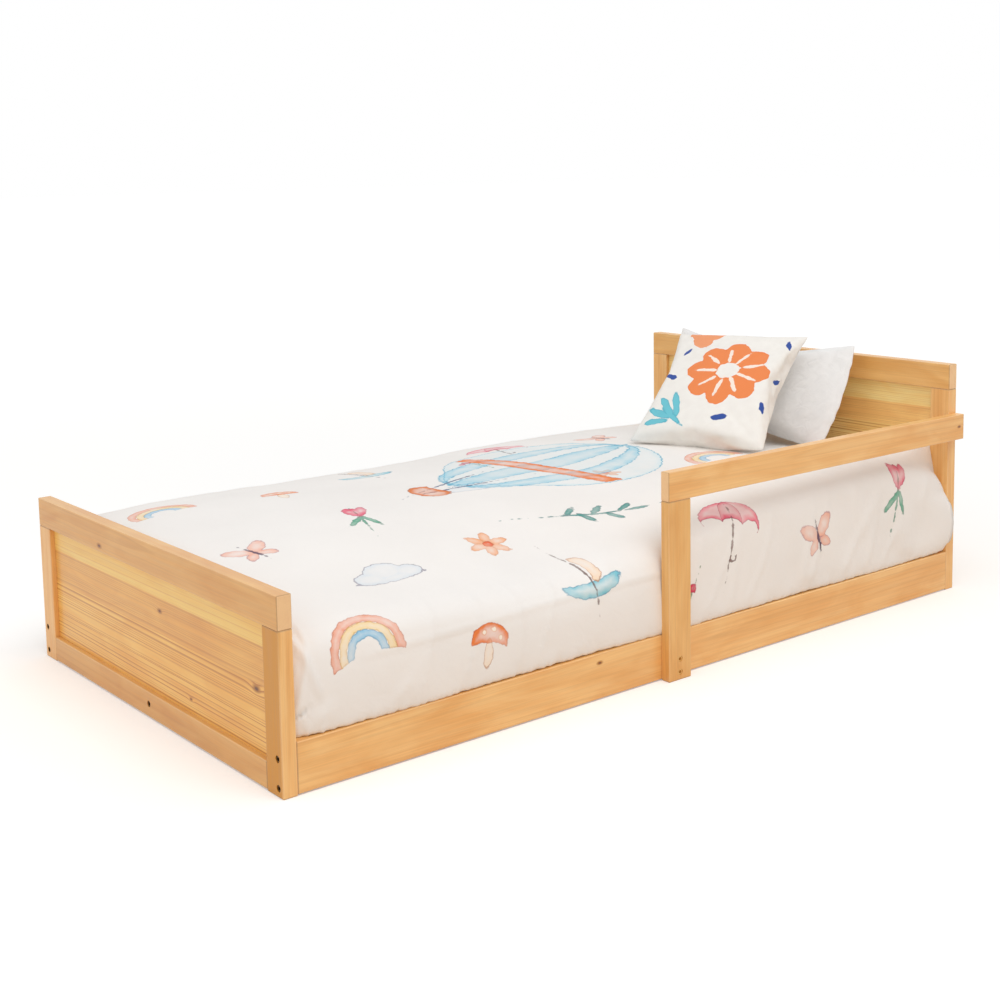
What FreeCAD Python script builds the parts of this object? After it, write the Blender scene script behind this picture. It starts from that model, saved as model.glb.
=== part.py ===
import FreeCAD, Part
import os

import Sketcher

# A low bed for a toddler: two frame-and-panel end frames, side rails close to the floor, slats on ledger
# strips, a guard along the head half of the near side, and its bedding.
# +X runs from the foot to the head, +Y from the guarded side to the far side, +Z up. The origin lies on
# the floor, in the middle of the whole bed with its guard.

SIZES = (
    ("bed_length", 1500, "over both end frames"),
    ("bed_width", 800, "over the two side rails, without the guard"),
    ("foot_height", 280, "top of the foot frame above the floor"),
    ("head_height", 440, "top of the head frame above the floor"),
    ("floor_gap", 2, "rails above the floor, so that the bed stands on its stiles"),
    ("edge_radius", 1.6, "sanded edges of every board"),
    ("frame_thickness", 23, "end frames, along the bed"),
    ("stile_width", 42, "upright members of the end frames"),
    ("top_rail_height", 48, "rail lying on the stiles"),
    ("bottom_rail_height", 40, "rail between the stiles"),
    ("panel_thickness", 6, "edge-glued panel boards"),
    ("groove_depth", 8, "groove that holds a panel"),
    ("groove_play", 0.1, "space on each face of a panel in its groove"),
    ("panel_play", 1, "space at a panel's ends, so that it can swell"),
    ("foot_board_one", 52, "lowest board of the foot panel"),
    ("foot_board_two", 53, "second board of the foot panel"),
    ("foot_board_three", 56, "third board of the foot panel"),
    ("head_board_width", 45.3, "boards of the head panel below its top board"),
    ("head_board_count", 8, "boards of the head panel"),
    ("side_rail_thickness", 24, "side rails, across the bed"),
    ("side_rail_height", 73, "side rails, upright"),
    ("ledger_width", 20, "strip that carries the slat ends"),
    ("ledger_height", 22, "strip, upright"),
    ("ledger_top", 44, "underside of the slats above the floor"),
    ("beam_width", 28, "middle beam, across the bed"),
    ("slat_width", 70, "along the bed"),
    ("slat_thickness", 14, "upright"),
    ("slat_count", 12, "number of slats"),
    ("slat_margin", 20, "from an end frame to the first slat"),
    ("slat_end_play", 2, "from a slat's end to the side rail"),
    ("guard_start", 706, "guard post from the foot end"),
    ("guard_thickness", 18, "guard, proud of the side rail"),
    ("guard_height", 345, "top of the guard rail above the floor"),
    ("guard_rail_height", 48, "guard rail, upright"),
    ("guard_post_width", 50, "guard post, along the bed"),
    ("bolt_diameter", 6, "machine bolts"),
    ("bolt_head_diameter", 10, "socket head"),
    ("bolt_head_height", 5, "socket head"),
    ("bolt_socket", 5, "hexagon key size"),
    ("bolt_socket_depth", 3, "depth of the hexagon"),
    ("bolt_sink", 1, "head below the wood's face"),
    ("bolt_length", 62, "shank of the bolts that hold the rails and the beam"),
    ("bolt_play", 0.2, "round a bolt in its hole"),
    ("nut_diameter", 10, "barrel nuts"),
    ("nut_length", 15, "barrel nuts"),
    ("nut_setback", 38, "barrel nut from the end of its rail"),
    ("nut_skin", 4, "wood left between a barrel nut and the outer face"),
    ("corner_bolt_low", 13, "lower corner bolt above the floor"),
    ("corner_bolt_high", 54, "upper corner bolt above the floor"),
    ("beam_bolt_height", 23, "beam bolt above the floor"),
    ("guard_bolt_low", 13, "lower bolt of the guard post above the floor"),
    ("guard_bolt_high", 35, "upper bolt of the guard post above the floor"),
    ("guard_bolt_length", 26, "shank of the guard bolts"),
    ("insert_diameter", 9, "threaded insert in the side rail"),
    ("insert_length", 14, "threaded insert"),
    ("dowel_diameter", 8, "glued dowels"),
    ("dowel_length", 38, "dowels of the end frames"),
    ("dowel_setback", 9, "first dowel from the edge of its member"),
    ("dowel_spacing", 15, "between the two dowels of a joint"),
    ("guard_dowel_length", 30, "dowels of the guard"),
    ("guard_dowel_depth", 12, "dowel in the guard rail's back"),
    ("fit_play", 0.1, "round a dowel, screw or nut in its hole"),
    ("screw_diameter", 4, "wood screws"),
    ("screw_head_diameter", 8, "countersunk heads"),
    ("screw_length", 30, "wood screws"),
    ("ledger_screw_count", 6, "screws along each ledger"),
    ("ledger_screw_margin", 60, "first ledger screw from the rail's end"),
    ("soft_gap", 0.3, "space between a soft piece and its neighbour"),
    ("quilt_thickness", 32, "filled quilt over the mattress"),
    ("quilt_bulge", 3, "side of the quilt inside the side plane"),
    ("quilt_tuck", 16, "hem of the quilt below the top of the side rail"),
    ("quilt_lip", 9, "height over which the quilt rolls out over the rail"),
    ("quilt_near_shoulder", 210, "near shoulder above the floor at the foot"),
    ("quilt_head_rise", 44, "near shoulder at the head above that at the foot"),
    ("quilt_far_shoulder", 258, "far shoulder above the floor"),
    ("quilt_far_fall", 16, "far shoulder at the head below that at the foot"),
    ("quilt_crown", 281, "highest line of the quilt above the floor"),
    ("quilt_pillow_sag", 26, "crown under the pillow below the highest line"),
    ("quilt_roll", 62, "run of the rolled shoulder across the bed"),
    ("quilt_roll_rise", 10, "end of the roll above the shoulder's height"),
    ("quilt_roll_drop", 46, "start of the roll below the shoulder's height"),
    ("quilt_end_round", 22, "how far the quilt's corners are rounded at its ends"),
    ("quilt_end_drop", 38, "how far the quilt falls at its ends"),
    ("pillow_width", 470, "along its long side, filled"),
    ("pillow_height", 226, "along its short side, filled and slumped"),
    ("pillow_thickness", 84, "at its crown"),
    ("pillow_lean", 66, "degrees from lying flat"),
    ("pillow_from_head", 73, "middle of the pillow from the head frame's inner face"),
    ("pillow_across", 446, "middle of the pillow from the near side plane"),
    ("pillow_turn", 0, "degrees that it is turned"),
    ("cushion_width", 286, "side of the throw cushion, filled"),
    ("cushion_height", 314, "other side of the throw cushion, filled"),
    ("cushion_thickness", 84, "at its crown"),
    ("cushion_lean", 37.4, "degrees from lying flat"),
    ("cushion_from_head", 238, "middle of the cushion from the head frame's inner face"),
    ("cushion_across", 370, "middle of the cushion from the near side plane"),
    ("cushion_turn", 17.4, "degrees that it is turned towards the near side"),
    ("cushion_seat", 0.92, "space under the cushion, whose straight lower side spans the quilt's crown"),
    ("pillow_seat", 0.3, "space under the pillow"),
    ("pad_draw", 10, "how far a pad's sides pull in between its corners"),
)

doc = FreeCAD.newDocument("toddler_floor_bed")


def make_sheet():
    """The spreadsheet of driving sizes: a name, a plain number and a note on each row."""
    table = doc.addObject("Spreadsheet::Sheet", "Size")
    for row, (name, number, note) in enumerate(SIZES, start=1):
        table.set(f"A{row}", name)
        table.set(f"B{row}", str(number))
        table.set(f"C{row}", note)
        table.setAlias(f"B{row}", name)
    doc.recompute()
    return table


sheet = make_sheet()
nodes = []
corners = {}

AXES = {"x": FreeCAD.Vector(1, 0, 0), "y": FreeCAD.Vector(0, 1, 0), "z": FreeCAD.Vector(0, 0, 1)}
BACKWARDS = {"-" + name: direction * -1 for name, direction in AXES.items()}
DIRECTIONS = {**AXES, **BACKWARDS}
BOARD_EDGES = 12

# Planes and heights that several pieces share, as expressions on the sheet.
FOOT = "(0 - Size.bed_length / 2)"
HEAD = "(Size.bed_length / 2)"
NEAR = "(Size.guard_thickness / 2 - Size.bed_width / 2)"
FAR = "(Size.guard_thickness / 2 + Size.bed_width / 2)"
MIDDLE = "(Size.guard_thickness / 2)"
FOOT_INNER = f"({FOOT} + Size.frame_thickness)"
HEAD_INNER = f"({HEAD} - Size.frame_thickness)"
INNER_LENGTH = "(Size.bed_length - 2 * Size.frame_thickness)"
RAIL_TOP = "(Size.floor_gap + Size.side_rail_height)"
RAIL_LINE = "(Size.side_rail_thickness / 2)"
BOTTOM_RAIL_TOP = "(Size.floor_gap + Size.bottom_rail_height)"
BETWEEN_STILES = "(Size.bed_width - 2 * Size.stile_width)"
BOLT_REACH = ("(Size.bolt_length + Size.bolt_sink + Size.bolt_head_height - Size.frame_thickness"
              " + Size.bolt_play)")
SLAT_START = f"({FOOT_INNER} + Size.slat_margin)"
SLAT_PITCH = (f"(({INNER_LENGTH} - 2 * Size.slat_margin - Size.slat_width)"
              " / (Size.slat_count - 1))")


def number(alias):
    """The value of one cell."""
    return float(getattr(sheet, alias))


def locate(piece, place, rotation=FreeCAD.Rotation()):
    """Turns a piece and ties its position to three expressions."""
    piece.Placement = FreeCAD.Placement(FreeCAD.Vector(), rotation)
    for axis, expression in zip("xyz", place):
        piece.setExpression(f"Placement.Base.{axis}", expression)


def keep(piece, label):
    """Names a finished sub-part."""
    piece.Label = label
    nodes.append(piece)
    return piece


def origin_plane(body, role):
    """One of the body's own origin planes."""
    return next(plane for plane in body.Origin.OriginFeatures if plane.Role == role)


def rectangle(body, width, depth):
    """A rectangle from the body's origin on its floor plane, with both sides tied to expressions."""
    sketch = body.newObject("Sketcher::SketchObject", f"{body.Name}_outline")
    sketch.AttachmentSupport = (origin_plane(body, "XY_Plane"), [""])
    sketch.MapMode = "FlatFace"
    points = [FreeCAD.Vector(0, 0), FreeCAD.Vector(10, 0), FreeCAD.Vector(10, 10), FreeCAD.Vector(0, 10)]
    for index in range(4):
        sketch.addGeometry(Part.LineSegment(points[index], points[(index + 1) % 4]), False)
    for index in range(4):
        sketch.addConstraint(Sketcher.Constraint("Coincident", index, 2, (index + 1) % 4, 1))
    for index, kind in enumerate(("Horizontal", "Vertical", "Horizontal", "Vertical")):
        sketch.addConstraint(Sketcher.Constraint(kind, index))
    sketch.addConstraint(Sketcher.Constraint("Coincident", 0, 1, -1, 1))
    across = sketch.addConstraint(Sketcher.Constraint("DistanceX", 0, 1, 0, 2, 10))
    along = sketch.addConstraint(Sketcher.Constraint("DistanceY", 1, 1, 1, 2, 10))
    sketch.setExpression(f"Constraints[{across}]", width)
    sketch.setExpression(f"Constraints[{along}]", depth)
    return sketch


def board(label, corner, size, eased=True):
    """A planed board: a rectangle padded upwards, with its edges sanded round."""
    body = doc.addObject("PartDesign::Body", label)
    pad = body.newObject("PartDesign::Pad", f"{label}_pad")
    pad.Profile = rectangle(body, size[0], size[1])
    pad.setExpression("Length", size[2])
    if eased:
        easing = body.newObject("PartDesign::Fillet", f"{label}_easing")
        easing.Base = (pad, [f"Edge{index + 1}" for index in range(BOARD_EDGES)])
        easing.setExpression("Radius", "Size.edge_radius")
    locate(body, corner)
    corners[body.Name] = corner
    return keep(body, label)


def from_corner(body, place):
    """A place in the bed's frame, counted from the board's own corner."""
    return [f"{whole} - {start}" for whole, start in zip(place, corners[body.Name])]


def bore(body, mouth, direction, diameter, depth):
    """A round hole that starts at its mouth and runs along the direction."""
    hole = body.newObject("PartDesign::SubtractiveCylinder", f"{body.Name}_bore")
    hole.setExpression("Radius", f"({diameter}) / 2")
    hole.setExpression("Height", depth)
    locate(hole, from_corner(body, mouth), FreeCAD.Rotation(AXES["z"], DIRECTIONS[direction]))


def groove(body, corner, size):
    """A straight groove or rebate, as the box that the cutter removes."""
    slot = body.newObject("PartDesign::SubtractiveBox", f"{body.Name}_groove")
    for side, expression in zip(("Length", "Width", "Height"), size):
        slot.setExpression(side, expression)
    locate(slot, from_corner(body, corner))


def cylinder(name, start, direction, diameter, length):
    """A plain rod from its start along the direction."""
    rod = doc.addObject("Part::Cylinder", name)
    rod.setExpression("Radius", f"({diameter}) / 2")
    rod.setExpression("Height", length)
    locate(rod, start, FreeCAD.Rotation(AXES["z"], DIRECTIONS[direction]))
    return rod


def shifted(place, direction, distance):
    """A place moved along a direction by an expression."""
    sign = "-" if direction.startswith("-") else "+"
    axis = direction[-1]
    return [f"({part} {sign} ({distance}))" if name == axis else part for name, part in zip("xyz", place)]


def fused(name, pieces):
    """Several solids joined into one."""
    whole = doc.addObject("Part::MultiFuse", name)
    whole.Shapes = pieces
    return whole


def cut(name, base, tool):
    """One solid less another."""
    left = doc.addObject("Part::Cut", name)
    left.Base = base
    left.Tool = tool
    return left


def group(label, pieces):
    """Separate solids that share one node."""
    holder = doc.addObject("Part::Compound", label)
    holder.Links = pieces
    return keep(holder, label)


def bolt(name, face, direction, length):
    """A socket-head bolt that enters at a face, its head sunk a little below it."""
    seat = shifted(face, direction, "Size.bolt_sink")
    head = cylinder(f"{name}_head", seat, direction, "Size.bolt_head_diameter", "Size.bolt_head_height")
    under = shifted(seat, direction, "Size.bolt_head_height")
    shank = cylinder(f"{name}_shank", under, direction, "Size.bolt_diameter", length)
    socket = doc.addObject("Part::Prism", f"{name}_socket")
    socket.Polygon = 6
    socket.setExpression("Circumradius", "Size.bolt_socket / sqrt(3)")
    socket.setExpression("Height", "Size.bolt_socket_depth")
    locate(socket, seat, FreeCAD.Rotation(AXES["z"], DIRECTIONS[direction]))
    return cut(name, fused(f"{name}_blank", [head, shank]), socket)


def bolt_hole(body, face, direction, thickness):
    """The counterbore for a head and the clear hole for its shank through a member."""
    head_depth = "Size.bolt_sink + Size.bolt_head_height"
    bore(body, face, direction, "Size.bolt_head_diameter + 2 * Size.bolt_play", head_depth)
    bore(body, face, direction, "Size.bolt_diameter + 2 * Size.bolt_play", thickness)


def barrel_nut(name, start, direction, bolt_line, bolt_direction):
    """A cross dowel of steel with its hole for the bolt."""
    barrel = cylinder(f"{name}_barrel", start, direction, "Size.nut_diameter", "Size.nut_length")
    entry = shifted(bolt_line, bolt_direction, "0 - Size.nut_diameter")
    way = cylinder(f"{name}_way", entry, bolt_direction, "Size.bolt_diameter + 2 * Size.fit_play",
                   "2 * Size.nut_diameter")
    return cut(name, barrel, way)


def screw(name, face, direction):
    """A countersunk wood screw, its head flush with the face."""
    head = doc.addObject("Part::Cone", f"{name}_head")
    head.setExpression("Radius1", "Size.screw_head_diameter / 2")
    head.setExpression("Radius2", "Size.screw_diameter / 2")
    head.setExpression("Height", "(Size.screw_head_diameter - Size.screw_diameter) / 2")
    locate(head, face, FreeCAD.Rotation(AXES["z"], DIRECTIONS[direction]))
    shank = cylinder(f"{name}_shank", face, direction, "Size.screw_diameter", "Size.screw_length")
    return fused(name, [head, shank])


def screw_hole(body, face, direction, depth, countersunk):
    """The pilot hole of a wood screw, with room for its head where it enters."""
    bore(body, face, direction, "Size.screw_diameter + 2 * Size.fit_play", depth)
    if countersunk:
        sink = body.newObject("PartDesign::SubtractiveCone", f"{body.Name}_sink")
        sink.setExpression("Radius1", "Size.screw_head_diameter / 2 + Size.fit_play")
        sink.setExpression("Radius2", "Size.screw_diameter / 2 + Size.fit_play")
        sink.setExpression("Height", "(Size.screw_head_diameter - Size.screw_diameter) / 2")
        locate(sink, from_corner(body, face), FreeCAD.Rotation(AXES["z"], DIRECTIONS[direction]))


def dowel_pair(name, middle, direction, spread, member):
    """Two dowels across a joint, half in each member."""
    pins = []
    for index in range(2):
        offset = f"Size.dowel_setback + {index} * Size.dowel_spacing"
        centre = shifted(shifted(middle, spread, f"{offset} - ({member}) / 2"), direction,
                         "0 - Size.dowel_length / 2")
        pins.append(cylinder(f"{name}_{index + 1}", centre, direction, "Size.dowel_diameter",
                             "Size.dowel_length"))
    return pins


def dowel_holes(body, middle, direction, spread, member):
    """The holes of a dowel pair in one member, which starts at the joint."""
    for index in range(2):
        offset = f"Size.dowel_setback + {index} * Size.dowel_spacing"
        mouth = shifted(middle, spread, f"{offset} - ({member}) / 2")
        bore(body, mouth, direction, "Size.dowel_diameter + 2 * Size.fit_play",
             "Size.dowel_length / 2 + Size.fit_play")


def end_frame(name, outer, inner, inward, height, board_tops):
    """A frame-and-panel end: two stiles, the rail on them, the rail between them and the panel boards."""
    low_x = outer if inward == "x" else inner
    mid_x = f"({low_x} + Size.frame_thickness / 2)"
    groove_x = f"({mid_x} - Size.panel_thickness / 2 - Size.groove_play)"
    groove_width = "(Size.panel_thickness + 2 * Size.groove_play)"
    stile_top = f"({height} - Size.top_rail_height)"
    slot_bottom = f"({BOTTOM_RAIL_TOP} - Size.groove_depth)"
    pins = []

    top_rail = board(f"{name}_top_rail", (low_x, NEAR, stile_top),
                     ("Size.frame_thickness", "Size.bed_width", "Size.top_rail_height"))
    groove(top_rail, (groove_x, f"({NEAR} + Size.stile_width - Size.groove_depth)", stile_top),
           (groove_width, f"{BETWEEN_STILES} + 2 * Size.groove_depth", "Size.groove_depth"))
    bottom_rail = board(f"{name}_bottom_rail", (low_x, f"({NEAR} + Size.stile_width)", "Size.floor_gap"),
                        ("Size.frame_thickness", BETWEEN_STILES, "Size.bottom_rail_height"))
    groove(bottom_rail, (groove_x, f"({NEAR} + Size.stile_width)", slot_bottom),
           (groove_width, BETWEEN_STILES, "Size.groove_depth"))
    bolt_hole(bottom_rail, (outer, MIDDLE, "Size.beam_bolt_height"), inward, "Size.frame_thickness")

    sides = (("near", NEAR, f"({NEAR} + Size.stile_width)", f"({NEAR} + {RAIL_LINE})", "y"),
             ("far", f"({FAR} - Size.stile_width)", f"({FAR} - Size.stile_width)",
              f"({FAR} - {RAIL_LINE})", "-y"))
    for side, low_y, joint_y, bolt_y, away in sides:
        stile = board(f"{name}_stile_{side}", (low_x, low_y, "0"),
                      ("Size.frame_thickness", "Size.stile_width", stile_top))
        groove_y = shifted((0, joint_y, 0), "y", "0 - Size.groove_depth" if side == "near" else "0")[1]
        groove(stile, (groove_x, groove_y, slot_bottom),
               (groove_width, "Size.groove_depth", f"{stile_top} - {slot_bottom}"))
        for bolt_z in ("Size.corner_bolt_low", "Size.corner_bolt_high"):
            bolt_hole(stile, (outer, bolt_y, bolt_z), inward, "Size.frame_thickness")
        back = "-y" if away == "y" else "y"
        rail_joint = (mid_x, joint_y, f"({BOTTOM_RAIL_TOP} - Size.bottom_rail_height / 2)")
        dowel_holes(stile, rail_joint, back, "z", "Size.bottom_rail_height")
        dowel_holes(bottom_rail, rail_joint, away, "z", "Size.bottom_rail_height")
        pins += dowel_pair(f"{name}_{side}_low_pin", rail_joint, "y", "z", "Size.bottom_rail_height")
        top_joint = (mid_x, f"({low_y} + Size.stile_width / 2)", stile_top)
        dowel_holes(stile, top_joint, "-z", away, "Size.stile_width")
        dowel_holes(top_rail, top_joint, "z", away, "Size.stile_width")
        pins += dowel_pair(f"{name}_{side}_top_pin", top_joint, "z", away, "Size.stile_width")
    group(f"{name}_frame_dowels", pins)

    panel_y = f"({NEAR} + Size.stile_width - Size.groove_depth + Size.panel_play)"
    panel_length = f"({BETWEEN_STILES} + 2 * Size.groove_depth - 2 * Size.panel_play)"
    panel_x = f"({mid_x} - Size.panel_thickness / 2)"
    panel_bottom = f"({slot_bottom} + Size.panel_play)"
    panel_top = f"({stile_top} + Size.groove_depth - Size.panel_play)"
    levels = [panel_bottom] + [f"({panel_bottom} + {top})" for top in board_tops] + [panel_top]
    for index in range(len(levels) - 1):
        board(f"{name}_panel_board_{index + 1}", (panel_x, panel_y, levels[index]),
              ("Size.panel_thickness", panel_length, f"{levels[index + 1]} - {levels[index]}"), eased=False)


def side_rail(side, low_y, inner_y, line_y, inward):
    """A side rail with its bolt and barrel-nut holes at both ends."""
    rail = board(f"side_rail_{side}", (FOOT_INNER, low_y, "Size.floor_gap"),
                 (INNER_LENGTH, "Size.side_rail_thickness", "Size.side_rail_height"))
    for end, end_x, along in (("foot", FOOT_INNER, "x"), ("head", HEAD_INNER, "-x")):
        for level in ("low", "high"):
            height = f"Size.corner_bolt_{level}"
            bore(rail, (end_x, line_y, height), along, "Size.bolt_diameter + 2 * Size.bolt_play",
                 BOLT_REACH)
            nut_x = shifted((end_x, line_y, height), along, "Size.nut_setback")[0]
            bore(rail, (nut_x, inner_y, height), "-y" if inward == "y" else "y",
                 "Size.nut_diameter + 2 * Size.fit_play",
                 "Size.side_rail_thickness - Size.nut_skin")
    return rail


def corner_fasteners(end, outer, inward):
    """The four corner bolts of one end frame and their barrel nuts."""
    bolts = []
    nuts = []
    inner = shifted((outer, "0", "0"), inward, "Size.frame_thickness")[0]
    for side, line_y, skin_y, across in (
            ("near", f"({NEAR} + {RAIL_LINE})", f"({NEAR} + Size.nut_skin)", "y"),
            ("far", f"({FAR} - {RAIL_LINE})", f"({FAR} - Size.nut_skin)", "-y")):
        for level in ("low", "high"):
            height = f"Size.corner_bolt_{level}"
            name = f"{end}_{side}_{level}"
            bolts.append(bolt(f"{name}_bolt", (outer, line_y, height), inward, "Size.bolt_length"))
            nut_x = shifted((inner, line_y, height), inward, "Size.nut_setback")[0]
            start_y = shifted(("0", skin_y, "0"), across, "Size.fit_play")[1]
            nuts.append(barrel_nut(f"{name}_nut", (nut_x, start_y, height), across,
                                   (nut_x, line_y, height), inward))
    group(f"{end}_corner_bolts", bolts)
    group(f"{end}_corner_barrel_nuts", nuts)


def middle_beam():
    """The beam along the middle, its bolts through the bottom rails and its barrel nuts."""
    low_y = f"({MIDDLE} - Size.beam_width / 2)"
    beam = board("centre_beam", (FOOT_INNER, low_y, "Size.floor_gap"),
                 (INNER_LENGTH, "Size.beam_width", "Size.ledger_top - Size.floor_gap"))
    bolts = []
    nuts = []
    nut_y = f"({MIDDLE} - Size.nut_length / 2)"
    for end, outer, inner, inward in (("foot", FOOT, FOOT_INNER, "x"), ("head", HEAD, HEAD_INNER, "-x")):
        height = "Size.beam_bolt_height"
        bore(beam, (inner, MIDDLE, height), inward, "Size.bolt_diameter + 2 * Size.bolt_play", BOLT_REACH)
        nut_x = shifted((inner, MIDDLE, height), inward, "Size.nut_setback")[0]
        bore(beam, (nut_x, low_y, height), "y", "Size.nut_diameter + 2 * Size.fit_play",
             "(Size.beam_width + Size.nut_length) / 2 + Size.fit_play")
        bolts.append(bolt(f"{end}_beam_bolt", (outer, MIDDLE, height), inward, "Size.bolt_length"))
        nuts.append(barrel_nut(f"{end}_beam_nut", (nut_x, nut_y, height), "y",
                               (nut_x, MIDDLE, height), inward))
    group("beam_bolts", bolts)
    group("beam_barrel_nuts", nuts)


def slat_place(index):
    """Where one slat starts along the bed."""
    return f"({SLAT_START} + {index} * {SLAT_PITCH})"


def ledgers_and_slats(rails):
    """The ledger strips screwed to the side rails, and the slats screwed to the ledgers."""
    slat_count = int(number("slat_count"))
    screw_count = int(number("ledger_screw_count"))
    screw_pitch = f"(({INNER_LENGTH} - 2 * Size.ledger_screw_margin) / (Size.ledger_screw_count - 1))"
    slat_low = f"({NEAR} + Size.side_rail_thickness + Size.slat_end_play)"
    slat_length = "(Size.bed_width - 2 * Size.side_rail_thickness - 2 * Size.slat_end_play)"
    slats = []
    for index in range(slat_count):
        slats.append(board(f"slat_{index + 1:02d}", (slat_place(index), slat_low, "Size.ledger_top"),
                           ("Size.slat_width", slat_length, "Size.slat_thickness")))
    slat_screws = []
    ledger_screws = []
    near_inner = f"({NEAR} + Size.side_rail_thickness)"
    far_inner = f"({FAR} - Size.side_rail_thickness)"
    near_ledger_face = f"({near_inner} + Size.ledger_width)"
    far_ledger_face = f"({far_inner} - Size.ledger_width)"
    sides = (("near", near_inner, near_inner, near_ledger_face, "-y"),
             ("far", far_ledger_face, far_inner, far_ledger_face, "y"))
    ledger_low = "(Size.ledger_top - Size.ledger_height)"
    for side, low_y, rail_face, ledger_face, outward in sides:
        ledger = board(f"ledger_{side}", (FOOT_INNER, low_y, ledger_low),
                       (INNER_LENGTH, "Size.ledger_width", "Size.ledger_height"))
        line_y = f"({low_y} + Size.ledger_width / 2)"
        slat_top = "(Size.ledger_top + Size.slat_thickness)"
        for index, slat in enumerate(slats):
            line_x = f"({slat_place(index)} + Size.slat_width / 2)"
            screw_hole(slat, (line_x, line_y, slat_top), "-z", "Size.slat_thickness", True)
            screw_hole(ledger, (line_x, line_y, "Size.ledger_top"), "-z",
                       "Size.screw_length - Size.slat_thickness + Size.fit_play", False)
            slat_screws.append(screw(f"slat_screw_{side}_{index + 1}", (line_x, line_y, slat_top), "-z"))
        line_z = f"({ledger_low} + Size.ledger_height / 4)"
        for index in range(screw_count):
            line_x = f"({FOOT_INNER} + Size.ledger_screw_margin + {index} * {screw_pitch})"
            screw_hole(ledger, (line_x, ledger_face, line_z), outward, "Size.ledger_width", True)
            screw_hole(rails[side], (line_x, rail_face, line_z), outward,
                       "Size.screw_length - Size.ledger_width + Size.fit_play", False)
            ledger_screws.append(screw(f"ledger_screw_{side}_{index + 1}", (line_x, ledger_face, line_z),
                                       outward))
    group("slat_screws", slat_screws)
    group("ledger_screws", ledger_screws)


def guard(rail, stile):
    """The guard post and rail on the near side, with bolts, inserts and dowels."""
    post_x = f"({FOOT} + Size.guard_start)"
    outer_y = f"({NEAR} - Size.guard_thickness)"
    mid_y = f"({NEAR} - Size.guard_thickness / 2)"
    rail_z = "(Size.guard_height - Size.guard_rail_height)"
    bolt_x = f"({post_x} + Size.guard_post_width / 2)"
    post = board("guard_post", (post_x, outer_y, "0"),
                 ("Size.guard_post_width", "Size.guard_thickness", rail_z))
    top = board("guard_rail", (post_x, outer_y, rail_z),
                ("Size.bed_length - Size.guard_start", "Size.guard_thickness", "Size.guard_rail_height"))
    bolts = []
    inserts = []
    for level in ("low", "high"):
        height = f"Size.guard_bolt_{level}"
        bolt_hole(post, (bolt_x, outer_y, height), "y", "Size.guard_thickness")
        bore(rail, (bolt_x, NEAR, height), "y", "Size.insert_diameter + 2 * Size.fit_play",
             "Size.insert_length")
        bolts.append(bolt(f"guard_{level}_bolt", (bolt_x, outer_y, height), "y",
                          "Size.guard_bolt_length - Size.bolt_head_height"))
        sleeve = cylinder(f"guard_{level}_sleeve", (bolt_x, NEAR, height), "y", "Size.insert_diameter",
                          "Size.insert_length")
        way = cylinder(f"guard_{level}_way", (bolt_x, NEAR, height), "y",
                       "Size.bolt_diameter + 2 * Size.fit_play", "Size.insert_length")
        inserts.append(cut(f"guard_{level}_insert", sleeve, way))
    group("guard_bolts", bolts)
    group("guard_threaded_inserts", inserts)

    pins = []
    for index, share in enumerate(("Size.guard_post_width / 4", "Size.guard_post_width * 3 / 4")):
        joint = (f"({post_x} + {share})", mid_y, rail_z)
        for member, direction in ((post, "-z"), (top, "z")):
            bore(member, joint, direction, "Size.dowel_diameter + 2 * Size.fit_play",
                 "Size.guard_dowel_length / 2 + Size.fit_play")
        start = shifted(joint, "z", "0 - Size.guard_dowel_length / 2")
        pins.append(cylinder(f"guard_post_pin_{index + 1}", start, "z", "Size.dowel_diameter",
                             "Size.guard_dowel_length"))
    stile_x = f"({HEAD} - Size.frame_thickness / 2)"
    # The stile's own dowels come down from its top rail, and the guard's pins keep below them.
    highest = ("Size.head_height - Size.top_rail_height - Size.dowel_length / 2"
               " - Size.dowel_diameter - Size.fit_play")
    for index, share in enumerate(("Size.guard_rail_height / 4", "Size.guard_rail_height * 3 / 4")):
        joint = (stile_x, NEAR, f"min({rail_z} + {share}; {highest})")
        bore(top, joint, "-y", "Size.dowel_diameter + 2 * Size.fit_play",
             "Size.guard_dowel_depth + Size.fit_play")
        bore(stile, joint, "y", "Size.dowel_diameter + 2 * Size.fit_play",
             "Size.guard_dowel_length - Size.guard_dowel_depth + Size.fit_play")
        start = shifted(joint, "y", "0 - Size.guard_dowel_depth")
        pins.append(cylinder(f"guard_end_pin_{index + 1}", start, "y", "Size.dowel_diameter",
                             "Size.guard_dowel_length"))
    group("guard_dowels", pins)


def polyline_and_arcs(corners_and_arcs):
    """A closed wire from (kind, points) pairs: a line has two points and an arc three."""
    edges = []
    for points in corners_and_arcs:
        vectors = [FreeCAD.Vector(*point) for point in points]
        if len(vectors) == 2:
            edges.append(Part.LineSegment(*vectors).toShape())
        else:
            edges.append(Part.Arc(*vectors).toShape())
    return Part.Wire(edges)


def soft_piece(label, shape, placement=FreeCAD.Placement()):
    """A soft piece, whose form is set from the sheet."""
    piece = doc.addObject("Part::Feature", label)
    piece.Shape = shape
    piece.Placement = placement
    return keep(piece, label)


def ramp(share, start, end):
    """From 0 at one share of the length to 1 at another."""
    return min(1.0, max(0.0, (share - start) / (end - start)))


# Shares of the bedding's length: where the near shoulder rises, the far one falls and the pillow sinks in.
NEAR_RISE = (0.42, 0.6)
FAR_FALL = (0.65, 0.9)
PILLOW_SAG = (0.8, 0.9)
# Sections along the bedding: a share of its length, and how much of the rounding of its ends is there.
BEDDING_STATIONS = ((0, 1), (0.01, 0.45), (0.035, 0.1), (0.23, 0), (0.42, 0), (0.6, 0), (0.78, 0),
                    (0.9, 0), (0.965, 0.1), (0.99, 0.45), (1, 1))
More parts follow.
